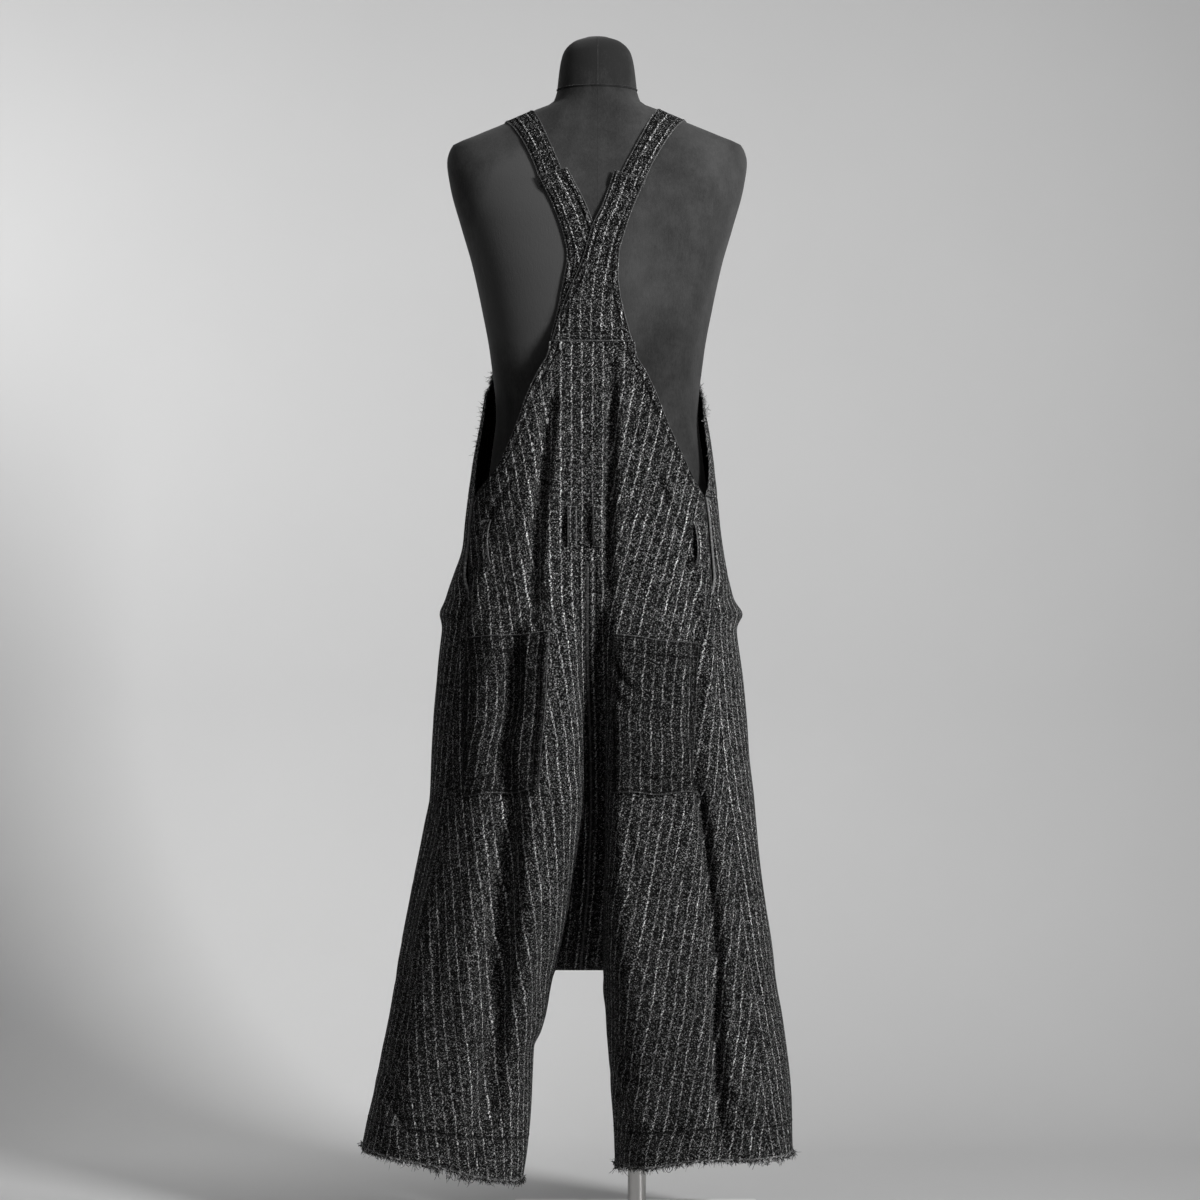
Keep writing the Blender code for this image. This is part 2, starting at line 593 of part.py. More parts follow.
def make_loop(loop):
    """A belt loop: a strip sewn down at its ends that stands off the panel between them."""
    grid, normal = back_panel(loop.side)
    height, across = np.meshgrid(
        np.linspace(loop.bottom, loop.top, 7), np.linspace(-0.5, 0.5, 3), indexing="ij"
    )
    row, column = back_place(loop.side, loop.out + across * LOOP_WIDTH, height)
    away = on_panel(normal, row, column)
    share = (height - loop.bottom) / (loop.top - loop.bottom)
    off = ON_PANEL + LOOP_BOW * np.sin(math.pi * share) ** 0.8
    inner = on_panel(grid, row, column) + off[..., None] * away
    wall(loop.name, inner + LOOP_CLOTH * away, inner)


def make_fringe(side, name):
    """The reach of the frayed threads below a hem, all round the leg."""
    level = np.array([[HEM]])
    back_turns = turns_of(level, back_edge(side)(level), BACK_COLUMNS)
    front_turns = 2.0 - turns_of(level, front_edge(side)(level), FRONT_COLUMNS)
    turn = np.concatenate([back_turns, front_turns[:, -2:0:-1]], axis=1)
    hem = hem_drop(side, level, turn)
    normal = normals(side, hem, turn)
    top = ring(side, hem, turn) - (CLOTH - FRINGE_CLOTH) / 2 * normal
    drop = np.array([0.0, 0.0, 1.0])
    outer = np.concatenate([top - FRINGE_REACH * drop, top - SEAM * drop])
    wall(name, outer, outer - FRINGE_CLOTH * normal, "fringe", closed=True)


# The bib's raw side edges, as turns from the centre back, by height: from the fronts' corners
# behind the hips they go forward to the bib's own top corners.
BibEdge = namedtuple("BibEdge", "height left right")
BIB_TURN_HEIGHT = 1.165  # where they go over the body's side
BIB_EDGES = (
    BibEdge(WAIST, 0.812, 0.753),
    BibEdge(1.020, 0.838, 0.802),
    BibEdge(1.050, 0.866, 0.846),
    BibEdge(1.100, 0.890, 0.880),
    BibEdge(1.140, 0.950, 0.950),
    BibEdge(BIB_TURN_HEIGHT, 1.070, 1.100),
    BibEdge(1.200, 1.200, 1.210),
    BibEdge(1.260, 1.320, 1.320),
    BibEdge(BIB_TOP, 1.409, 1.400),
)


def bib_turn(side, height):
    """The turn of the bib's raw side edge."""
    return along(BIB_EDGES, "left" if side == LEFT else "right", height)


def bib_face(height, share):
    """The bib's outer face: share 0 is its left side edge, 0.5 the middle and 1 the right."""
    left = ring(LEFT, height, 2.0 - (2.0 - bib_turn(LEFT, height)) * (1 - 2 * share))
    right = ring(RIGHT, height, 2.0 - (2.0 - bib_turn(RIGHT, height)) * (2 * share - 1))
    half = (share <= 0.5)[..., None]
    return np.where(half, left, right)


def face_normals(points):
    """Normals of a grid from its own points, facing away from the middle of the body."""
    across = np.gradient(points, axis=1)
    along_it = np.gradient(points, axis=0)
    normal = np.cross(across, along_it)
    normal /= np.linalg.norm(normal, axis=-1, keepdims=True)
    away = points - np.array([0.0, 0.0, 1.0]) * points[..., 2:3]
    return normal * np.sign((normal * away).sum(axis=-1, keepdims=True))


def make_bib():
    heights = spread((WAIST + SEAM, BIB_TURN_HEIGHT, 7), (BIB_TURN_HEIGHT, BIB_TOP, 6))
    height, share = np.meshgrid(heights, np.linspace(0.0, 1.0, 23), indexing="ij")
    outer = bib_face(height, share)
    wall("bib", outer, outer - CLOTH * face_normals(outer))


# ---- the dress form ----
def form_back(x, height):
    """Y of the form's back at a place on it."""
    wide, back, square = (along(TORSO, c, height) for c in ("half_width", "back", "square"))
    return back * np.maximum(1.0 - np.abs(x / wide) ** square, 0.0) ** (1.0 / square)


def inside_form(x, y, height):
    wide, square = (along(TORSO, c, height) for c in ("half_width", "square"))
    deep = np.where(y > 0, along(TORSO, "back", height), -along(TORSO, "front", height))
    within = np.abs(x / wide) ** square + np.abs(y / deep) ** square < 1.0
    return within & (height < TORSO[-1].height)


def make_sections(name, table, heights, look):
    """A closed solid through sections. Each end is filled flat."""
    angle = np.arange(ROUND_FORM) * 2 * math.pi / ROUND_FORM
    points, faces = [], []
    for height in heights:
        wide, front, back, square = (
            float(along(table, c, height)) for c in ("half_width", "front", "back", "square")
        )
        for a in angle:
            c, s = math.cos(a), math.sin(a)
            x = wide * math.copysign(abs(c) ** (2 / square), c)
            y = (back if s > 0 else -front) * math.copysign(abs(s) ** (2 / square), s)
            points.append((x, y, height))
    for r in range(len(heights) - 1):
        for c in range(ROUND_FORM):
            a, b = r * ROUND_FORM + c, r * ROUND_FORM + (c + 1) % ROUND_FORM
            faces.append((a, b, b + ROUND_FORM, a + ROUND_FORM))
    faces.append(tuple(range(ROUND_FORM))[::-1])
    top = (len(heights) - 1) * ROUND_FORM
    faces.append(tuple(range(top, top + ROUND_FORM)))
    return build(name, points, faces, look)


def make_form():
    heights = spread((0.800, 0.860, 4), (0.860, 1.432, 14), (1.432, 1.564, 14))
    make_sections("form_torso", TORSO, heights, "form_cloth")
    cap = spread((1.5643, 1.616, 4), (1.616, 1.633, 4), (1.633, 1.639, 3))
    make_sections("form_neck_cap", NECK_CAP, cap, "form_cloth")


def make_disc(name, centre, radius, bottom, top, look, sides=32):
    points = []
    for z in (bottom, top):
        for i in range(sides):
            a = 2 * math.pi * i / sides
            points.append((centre[0] + radius * math.cos(a), centre[1] + radius * math.sin(a), z))
    faces = [(i, (i + 1) % sides, sides + (i + 1) % sides, sides + i) for i in range(sides)]
    faces += [tuple(range(sides))[::-1], tuple(range(sides, 2 * sides))]
    return build(name, points, faces, look)


def make_stand():
    bpy.ops.mesh.primitive_cube_add(size=1.0, location=(POLE_X, 0.0, BASE_THICK / 2))
    base = bpy.context.object
    base.name = "stand_base"
    base.scale = (BASE_SIDE, BASE_SIDE, BASE_THICK)
    bpy.ops.object.transform_apply(location=False, rotation=False, scale=True)
    bevel = base.modifiers.new("Corners", "BEVEL")
    bevel.width = BASE_CORNER / 4
    bevel.segments = 2
    base.data.materials.append(finish("base_paint"))
    torso_end = TORSO[0].height
    socket = torso_end - SEAM - SOCKET_THICK
    make_disc("stand_pole", (POLE_X, 0.0), POLE_RADIUS, BASE_THICK + SEAM, socket - SEAM, "steel")
    make_disc("form_socket", (POLE_X, 0.0), SOCKET_RADIUS, socket, torso_end - SEAM, "steel")


# ---- straps ----
def strap_points(table, share, row, upper):
    """X and height on a back strap: share runs across it, row from the yoke to its join."""
    height = table[0].height + (table[-1].height - table[0].height) * row
    x = along(table, "left", height) * (1 - share) + along(table, "right", height) * share
    inner_high = share if upper == LEFT else 1 - share
    return x, height + STRAP_SLOPE * row**3 * inner_high


def strap_base(x, height):
    """Y of the inner face of the under strap, which lies on the form and runs into the yoke."""
    on_form = form_back(x, height) + ON_FORM
    side = np.where(x > 0, LEFT, RIGHT)
    cloth = np.where(
        side > 0,
        ring(LEFT, YOKE, turn_at(LEFT, YOKE, x))[..., 1],
        ring(RIGHT, YOKE, turn_at(RIGHT, YOKE, -x))[..., 1],
    )
    at_yoke = cloth - CLOTH - STRAP_LIFT
    blend = smoothstep(YOKE + YOKE_BLEND, YOKE, height)
    return np.maximum(on_form, on_form * (1 - blend) + at_yoke * blend)


def make_back_strap(name, table, upper, lifted):
    row, share = np.meshgrid(np.linspace(0.0, 1.0, 13), np.linspace(0.0, 1.0, 6), indexing="ij")
    x, height = strap_points(table, share, row, upper)
    lift = STRAP_LIFT * smoothstep(LIFT_TO, LIFT_FROM, height) * lifted
    inner = np.stack([x, strap_base(x, height) + lift, height], axis=-1)
    wall(name, inner + STRAP_CLOTH * face_normals(inner), inner)


def band_normals(points):
    """Normals of a grid that wraps over the shoulder, facing away from the pivot."""
    normal = np.cross(np.gradient(points, axis=1), np.gradient(points, axis=0))
    normal /= np.linalg.norm(normal, axis=-1, keepdims=True)
    away = (points - np.array([0.0, 0.0, SHOULDER_PIVOT])) * np.array([0.0, 1.0, 1.0])
    return normal * np.sign((normal * away).sum(axis=-1, keepdims=True))


def make_shoulder_strap(side, name):
    """A band pulled tight over the shoulder and the top of the bib."""
    row, share = np.meshgrid(np.linspace(0.0, 1.0, 49), np.linspace(-1.0, 1.0, 4), indexing="ij")
    table = SHOULDER_STRAPS[side]
    join = (UNDER_STRAP if side == LEFT else OVER_STRAP)[-1].height + JOIN_GAP
    join = join + STRAP_SLOPE * (1 - share) / 2
    join_out = table[0].middle + share * table[0].half_width
    start = np.degrees(np.arctan2(join - SHOULDER_PIVOT, form_back(join_out, join) + ON_SHOULDER))
    angle = start + (table[-1].angle - start) * row
    x = side * (along(table, "middle", angle) + share * along(table, "half_width", angle))
    y_way, z_way = np.cos(np.radians(angle)), np.sin(np.radians(angle))
    reach = np.full_like(x, STRAP_SEARCH_FROM)
    for _ in range(STRAP_SEARCH_STEPS):
        y, z = reach * y_way, SHOULDER_PIVOT + reach * z_way
        covered = inside_form(x, y, z) | ((z < BIB_TOP + 0.002) & (y > bib_front(x, z)) & (y < 0))
        reach = np.where(covered, reach + STRAP_SEARCH_STEP, reach)
    free = reach + ON_SHOULDER
    for _ in range(STRAP_PULLS):
        y, z = free * y_way, free * z_way
        middle = np.hypot((y[:-2] + y[2:]) / 2, (z[:-2] + z[2:]) / 2)
        free[1:-1] = np.maximum(free[1:-1], middle)
    inner = np.stack([x, free * y_way, SHOULDER_PIVOT + free * z_way], axis=-1)[::2]
    normal = band_normals(inner)
    outer = inner + STRAP_CLOTH * normal
    wall(name, outer, inner)
    return outer, normal


def bib_front(x, height):
    """Y just in front of the bib's outer face."""
    left = ring(LEFT, height, 2.0 - turn_at(LEFT, height, np.abs(x)))[..., 1]
    right = ring(RIGHT, height, 2.0 - turn_at(RIGHT, height, np.abs(x)))[..., 1]
    return np.where(x > 0, left, right) - SEAM


def make_button(name, strap_outer, strap_normal):
    """A turned button with a dished face, sewn on through the strap's end."""
    middle = strap_outer[:, 1:3].mean(axis=1)
    row = int(np.argmin(np.abs(middle[:, 2] - BUTTON_HEIGHT) + 10.0 * (middle[:, 1] > 0)))
    axis = Vector(strap_normal[row, 1:3].mean(axis=0)).normalized()
    centre = Vector(middle[row]) + axis * BUTTON_CLEAR
    profile = (
        (BUTTON_RADIUS * 0.92, 0.0),
        (BUTTON_RADIUS, BUTTON_THICK * 0.3),
        (BUTTON_RADIUS, BUTTON_THICK * 0.75),
        (BUTTON_RADIUS * 0.9, BUTTON_THICK),
        (BUTTON_RADIUS * 0.72, BUTTON_THICK),
        (BUTTON_RADIUS * 0.55, BUTTON_THICK - BUTTON_DISH),
    )
    turn = axis.to_track_quat("Z", "Y").to_matrix()
    sides = ROUND_BUTTON
    points, faces = [], []
    for radius, rise in profile:
        for i in range(sides):
            a = 2 * math.pi * i / sides
            points.append(centre + turn @ Vector((radius * math.cos(a), radius * math.sin(a), rise)))
    for r in range(len(profile) - 1):
        for c in range(sides):
            a, b = r * sides + c, r * sides + (c + 1) % sides
            faces.append((a, b, b + sides, a + sides))
    last = (len(profile) - 1) * sides
    faces += [tuple(range(sides))[::-1], tuple(range(last, last + sides))]
    build(name, points, faces, "button")


SIDES = ((LEFT, "left"), (RIGHT, "right"))

clear_scene()
make_stand()
make_form()
make_bib()
make_back_strap("back_strap_under", UNDER_STRAP, LEFT, 0.0)
make_back_strap("back_strap_over", OVER_STRAP, RIGHT, 1.0)
for body_side, word in SIDES:
    for part, back_heights in BACKS.items():
        make_back(body_side, "back_" + word + part, back_heights)
    for part, front_heights in FRONTS.items():
        make_front(body_side, "front_" + word + part, front_heights)
    make_pocket(body_side, "pocket_" + word)
    make_fringe(body_side, "fringe_" + word)
    strap_outer, strap_normal = make_shoulder_strap(body_side, "shoulder_strap_" + word)
    make_button("button_" + word, strap_outer, strap_normal)
for belt_loop in LOOPS:
    make_loop(belt_loop)
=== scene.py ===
"""Bib overalls in striped wool tweed on a limbless dress form: the finish of every piece.

Metres, +Z up, the floor at z = 0. The garment faces -Y, so the wearer's left is +X.
The cloth repeats the rule that its solids are worked out from, on a finer grid: a ring is drawn
for each side of the body from the centre back (turn 0) past the hip (turn 1) to the centre front
(turn 2), and below the fork the same ring closes on itself as that side's leg. Creases and soft
wrinkles are added to it, and whatever lies on a panel is made from the same points.
"""

import itertools
import math
from collections import namedtuple
from math import cos, pi, sin

import bmesh
import bpy
import numpy as np
from mathutils import Matrix, Vector


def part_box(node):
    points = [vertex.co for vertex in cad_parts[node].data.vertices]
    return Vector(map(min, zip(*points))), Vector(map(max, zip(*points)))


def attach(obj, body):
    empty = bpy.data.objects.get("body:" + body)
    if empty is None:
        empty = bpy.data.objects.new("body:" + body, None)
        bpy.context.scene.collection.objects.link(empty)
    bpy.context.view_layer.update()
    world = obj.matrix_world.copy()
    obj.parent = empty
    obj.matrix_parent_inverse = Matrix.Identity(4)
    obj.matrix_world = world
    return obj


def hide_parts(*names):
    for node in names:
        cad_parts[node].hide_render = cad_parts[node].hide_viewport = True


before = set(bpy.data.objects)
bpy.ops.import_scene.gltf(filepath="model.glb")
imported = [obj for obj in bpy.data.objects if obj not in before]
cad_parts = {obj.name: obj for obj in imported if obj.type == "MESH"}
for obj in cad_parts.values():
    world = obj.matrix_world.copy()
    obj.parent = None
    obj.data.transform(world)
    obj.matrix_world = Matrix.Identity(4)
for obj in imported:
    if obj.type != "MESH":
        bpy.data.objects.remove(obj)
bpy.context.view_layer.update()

# ---- driving sizes ----
LEFT, RIGHT = 1.0, -1.0  # side of the body: the wearer's left is +X
SIDES = {LEFT: "left", RIGHT: "right"}
CLOTH = 0.0022  # thickness of the tweed
STRAP_CLOTH = 0.0030  # a strap is folded double
SEAM = 0.0003  # gap between pieces that are sewn together
FORK = 0.354  # height of the fork, where the legs part
WAIST = 1.004  # height of the seam between the bib and the trouser fronts
YOKE = 1.212  # height of the seam between the back panels and the straps
BIB_TOP = 1.315
SLIT_END = 0.868  # lower end of the side slits
HEM = 0.100  # nominal height of the hems, which the table of hems varies
STEADY = 0.200  # above this height the hems' slope has died out
FREE_EDGE = 0.900  # above this height the backs' side edges hang free
CENTRE_SEAM_TOP = 0.935  # the centre back seam shows below this height
STEP = 0.0042  # spacing of the rows and columns of the fine grids
NEAR = np.array([0.0, 0.0004, 0.0011, 0.0024, 0.0044])  # columns that round an edge
PITCH = 0.0142  # from one pale stripe to the next
TINY = 1e-12  # keeps a length from being divided by nothing


# ---- tables ----
def rows(kind, *table):
    """A table whose columns have the names of its kind."""
    return [kind(*row) for row in table]


def in_mm(kind, *table):
    """The same for a table of lengths given in millimetres."""
    return [kind(*(length / 1000 for length in row)) for row in table]


# A row of Side is a height on one side of the body, with distances out from the middle plane: the
# inner wall of the leg, which above the fork (354) stands beside a web of cloth, the ridge where
# the back stands furthest out, the outermost cloth, and the back panel's outer edge.
Side = namedtuple("Side", "height wall ridge outer edge")
LEFT_ROWS = in_mm(
    Side,
    (70, 102, 215, 330, 284),
    (110, 96, 210, 324, 279),
    (167, 91, 203, 312, 271),
    (223, 88, 196, 301, 263),
    (250, 86, 178, 296, 259),
    (272, 75, 168, 291, 256),
    (300, 67, 155, 285, 251),
    (330, 62, 140, 280, 247),
    (345, 59, 132, 277, 244),
    (354, 56, 126, 276, 242),
    (374, 52, 118, 273, 241),
    (448, 37, 92, 259, 231),
    (506, 27, 74, 247, 219),
    (557, 19, 64, 237, 209),
    (600, 14, 52, 230, 202),
    (700, 10, 50, 227, 194),
    (755, 12, 52, 222, 189),
    (820, 13, 56, 213, 184),
    (862, 13, 60, 208, 180),
    (900, 13, 64, 197, 177),
    (940, 13, 68, 186, 173),
    (978, 13, 70, 183, 170),
    (1004, 13, 72, 180, 166),
    (1016, 13, 73, 178, 158),
    (1032, 13, 74, 175, 145),
    (1050, 13, 75, 172, 132),
    (1077, 13, 75, 167, 119),
    (1107, 13, 75, 161, 107),
    (1139, 13, 75, 155, 96),
    (1171, 13, 75, 150, 81),
    (1196, 13, 75, 150, 67),
    (1215, 13, 75, 150, 64),
    (1260, 13, 75, 160, 64),
    (1330, 13, 75, 176, 64),
)
RIGHT_ROWS = in_mm(
    Side,
    (70, 26, 138, 272, 240),
    (110, 25, 137, 270, 234),
    (167, 22, 135, 268, 227),
    (223, 19, 131, 263, 221),
    (250, 17, 120, 260, 218),
    (272, 15, 112, 257, 215),
    (300, 13, 100, 253, 212),
    (330, 9, 86, 248, 208),
    (345, 10, 76, 246, 206),
    (354, 9.6, 70, 245, 205),
    (374, 9.5, 62, 243, 202),
    (448, 9, 46, 233, 195),
    (506, 9.5, 38, 225, 188),
    (557, 10.5, 36, 221, 181),
    (600, 11.5, 36, 216, 176),
    (700, 12.5, 40, 205, 167),
    (755, 12, 44, 200, 164),
    (820, 7, 48, 191, 161),
    (862, -3, 52, 187, 158),
    (900, -13, 58, 180, 156),
    (940, -13, 64, 174, 152),
    (978, -13, 68, 169, 149),
    (1004, -13, 71, 166, 145),
    (1016, -13, 72, 165, 139),
    (1032, -13, 73, 163, 130),
    (1050, -13, 74, 161, 121),
    (1077, -13, 75, 157, 108),
    (1107, -13, 75, 152, 95),
    (1139, -13, 75, 147, 82),
    (1171, -13, 75, 145, 67),
    (1196, -13, 75, 146, 53),
    (1215, -13, 75, 147, 51),
    (1260, -13, 75, 158, 51),
    (1330, -13, 75, 174, 51),
)
SIDE_ROWS = {LEFT: LEFT_ROWS, RIGHT: RIGHT_ROWS}

# A row of Depth is a height of the whole body: the X of the centre seams, where the back, the
# centre back seam, the front and the centre front seam lie along Y, and how the cloth runs
# from the web to the ridge. A softness of 2 makes a soft trough there, and 0.5 the round
# inside of a leg.
Depth = namedtuple("Depth", "height middle back seat front fork softness")
DEPTHS = rows(
    Depth,
    (0.07, 0.0234, 0.09, 0.0, -0.096, 0.0, 0.5),
    (0.2, 0.0234, 0.104, 0.0, -0.11, 0.0, 0.5),
    (0.3, 0.0234, 0.112, 0.0, -0.12, 0.0, 0.5),
    (0.345, 0.0234, 0.115, 0.0, -0.123, 0.0, 0.5),
    (FORK, 0.0234, 0.116, CLOTH, -0.124, -CLOTH, 0.55),
    (0.357, 0.023, 0.116, 0.008, -0.124, -0.008, 0.57),
    (0.364, 0.022, 0.117, 0.018, -0.125, -0.018, 0.6),
    (0.38, 0.0205, 0.118, 0.028, -0.127, -0.03, 0.6),
    (0.42, 0.0165, 0.121, 0.04, -0.131, -0.05, 0.6),
    (0.5, 0.0105, 0.127, 0.052, -0.138, -0.074, 0.62),
    (0.6, 0.008, 0.131, 0.066, -0.143, -0.096, 0.65),
    (0.7, 0.01, 0.133, 0.084, -0.146, -0.118, 0.75),
    (0.8, 0.013, 0.132, 0.104, -0.148, -0.138, 0.9),
    (0.87, 0.013, 0.128, 0.117, -0.148, -0.145, 1.3),
    (0.95, 0.013, 0.122, 0.119, -0.146, -0.145, 2.0),
    (1.05, 0.013, 0.115, 0.114, -0.143, -0.142, 2.0),
    (1.15, 0.013, 0.11, 0.11, -0.138, -0.138, 2.0),
    (1.215, 0.013, 0.108, 0.108, -0.134, -0.134, 2.0),
    (1.26, 0.013, 0.11, 0.11, -0.132, -0.132, 2.0),
    (1.33, 0.013, 0.114, 0.114, -0.132, -0.132, 2.0),
)
HIP_LINE = -0.008  # Y of the outermost cloth
CORNER = 2.3  # exponent of the rings' outer quarters: 2 is an ellipse
WEB_SHARE = 0.08  # share of a turn that runs over the web, from the centre seam to the wall
WEB_LEAST = 0.007  # width the web keeps where it runs out above the seat
ROUND_SOFTNESS = 0.5  # softness of a round
SOFTENED = {LEFT: 1.0, RIGHT: 0.4}  # how much of the trough's softness each side has
INNER_SHARE = 0.4  # share of a turn that runs from the centre seam to the ridge

# The hems dip and rise: their height at each distance out from the middle plane.
Hem = namedtuple("Hem", "out height")
HEMS = {
    LEFT: in_mm(Hem, (100, 70), (135, 77), (220, 100), (325, 116)),
    RIGHT: in_mm(Hem, (25, 92), (70, 96), (145, 108), (270, 107)),
}

# A row of Fold is a soft trough, or a ridge where its depth is negative, from one height to
# a lower one. Its lengths are distances out, and it dies away over its ends.
Fold = namedtuple("Fold", "side face top_out top bottom_out bottom width depth")
FOLDS = rows(
    Fold,
    (RIGHT, "back", 0.019, 1.19, 0.013, 0.84, 0.009, 0.009),
    (LEFT, "back", 0.06, 1.17, 0.089, 0.82, 0.014, 0.005),
    (LEFT, "back", 0.113, 0.85, 0.125, 0.56, 0.017, 0.012),
    (LEFT, "back", 0.119, 0.62, 0.153, 0.09, 0.02, 0.014),
    (RIGHT, "back", 0.134, 0.66, 0.172, 0.08, 0.014, 0.013),
    (LEFT, "front", 0.085, 0.9, 0.15, 0.12, 0.024, 0.012),
    (RIGHT, "front", 0.075, 0.86, 0.13, 0.1, 0.022, 0.013),
    (RIGHT, "front", 0.14, 0.7, 0.2, 0.25, 0.02, 0.01),
)
FOLD_ENDS = 0.09  # length over which a fold dies away

# Each side pocket's mouth gapes and pushes the cloth out where its side slit ends.
GAPE_HEIGHT = {LEFT: 0.846, RIGHT: 0.845}
GAPE = {LEFT: 0.006, RIGHT: 0.011}
GAPE_REACH = 0.013

# The dress form's sections.
Section = namedtuple("Section", "height half_width front back square")
TORSO = rows(
    Section,
    (0.8, 0.15, -0.078, 0.088, 2.3),
    (0.815, 0.158, -0.088, 0.1, 2.3),
    (0.86, 0.166, -0.098, 0.108, 2.3),
    (0.91, 0.167, -0.102, 0.108, 2.3),
    (0.99, 0.155, -0.102, 0.098, 2.3),
    (1.064, 0.145, -0.1, 0.088, 2.4),
    (1.117, 0.139, -0.102, 0.085, 2.4),
    (1.2, 0.147, -0.11, 0.096, 2.5),
    (1.266, 0.159, -0.118, 0.104, 2.5),
    (1.325, 0.172, -0.122, 0.108, 2.5),
    (1.375, 0.1865, -0.118, 0.107, 2.4),
    (1.432, 0.202, -0.1, 0.095, 2.3),
    (1.466, 0.2065, -0.078, 0.08, 2.2),
    (1.488, 0.2, -0.062, 0.068, 2.1),
    (1.503, 0.168, -0.056, 0.062, 2.0),
    (1.518, 0.131, -0.053, 0.058, 2.0),
    (1.529, 0.105, -0.052, 0.056, 2.0),
    (1.538, 0.085, -0.052, 0.055, 2.0),
    (1.548, 0.061, -0.053, 0.054, 2.0),
    (1.564, 0.0548, -0.054, 0.052, 2.0),
)
NECK_CAP = rows(
    Section,
    (1.564, 0.0552, -0.0543, 0.0523, 2.0),
    (1.599, 0.051, -0.052, 0.048, 2.0),
    (1.616, 0.0468, -0.049, 0.044, 2.0),
    (1.6245, 0.0415, -0.043, 0.037, 2.0),
    (1.633, 0.031, -0.033, 0.025, 2.0),
    (1.639, 0.014, -0.016, 0.01, 2.0),
)

# The two back straps run from a join below the shoulder to the yoke and cross, the one from
# the right shoulder over the other. Edges are X, left and right of the strap's middle.
Strap = namedtuple("Strap", "height left right")
UNDER_STRAP = in_mm(
    Strap,
    (1212, 64, -47),
    (1262, 52, -30),
    (1302, 44.5, -19),
    (1327, 40.5, -11),
    (1353, 45, -1),
    (1392, 58.5, 15),
    (1436, 79, 40),
)
OVER_STRAP = in_mm(
    Strap,
    (1212, 62, -48),
    (1248, 51, -38),
    (1277, 40, -31.5),
    (1302, 28, -29),
    (1327, 18, -30),
    (1363, 7, -39),
    (1392, -8, -49),
    (1432, -23, -66),
)
STRAP_SLOPE = 0.011  # how much higher a strap's inner corner is than its outer one
ON_FORM = 0.0008  # clearance between the form and cloth that rests on it
ON_SHOULDER = 0.0012  # the same on the shoulder, whose facets curve more
STRAP_LIFT = STRAP_CLOTH + SEAM  # the over strap lies on the under strap
LIFT_FROM, LIFT_TO = 1.385, 1.430

# A shoulder strap goes on over the shoulder and down to its button on the bib. The angle is
# read about a point inside the shoulder: 0 is straight back, 90 up and 180 forward.
Station = namedtuple("Station", "angle middle half_width")
SHOULDER_STRAPS = {
    LEFT: rows(
        Station,
        (4.0, 0.0595, 0.017),
        (45.0, 0.083, 0.0175),
        (85.0, 0.1075, 0.019),
        (130.0, 0.112, 0.019),
        (180.0, 0.106, 0.019),
        (230.0, 0.096, 0.019),
    ),
    RIGHT: rows(
        Station,
        (2.0, 0.0445, 0.018),
        (45.0, 0.076, 0.018),
        (85.0, 0.103, 0.019),
        (130.0, 0.108, 0.019),
        (180.0, 0.103, 0.019),
        (230.0, 0.094, 0.019),
    ),
}
SHOULDER_PIVOT = 1.425  # height of the point that the angles are read about

# Patch pockets, by their corners: distance out and height, top inner to bottom inner.
Corner = namedtuple("Corner", "out height")
POCKETS = {
    LEFT: in_mm(Corner, (62, 823), (176, 815), (180, 601), (77, 612)),
    RIGHT: in_mm(Corner, (24, 820), (140, 806), (131, 606), (22, 607)),
}

# Belt loops: distance out, height of the top and bottom, on the back panels, and the strip's
# width and length laid flat.
Loop = namedtuple("Loop", "name side out top bottom flat")
LOOPS = rows(
    Loop,
    ("loop_back_left", LEFT, 0.0335, 0.99, 0.935, (0.013, 0.06)),
    ("loop_back_right", RIGHT, 0.001, 0.99, 0.935, (0.0145, 0.063)),
    ("loop_side_left", LEFT, 0.148, 0.972, 0.914, (0.018, 0.066)),
    ("loop_side_right", RIGHT, 0.136, 0.967, 0.909, (0.018, 0.066)),
)
ON_PANEL = 0.0008  # clearance under what lies on a panel
LOOP_WIDTH = 0.013
LOOP_CLOTH = 0.0016
LOOP_BOW = 0.0065  # how far the middle of a loop stands off the panel

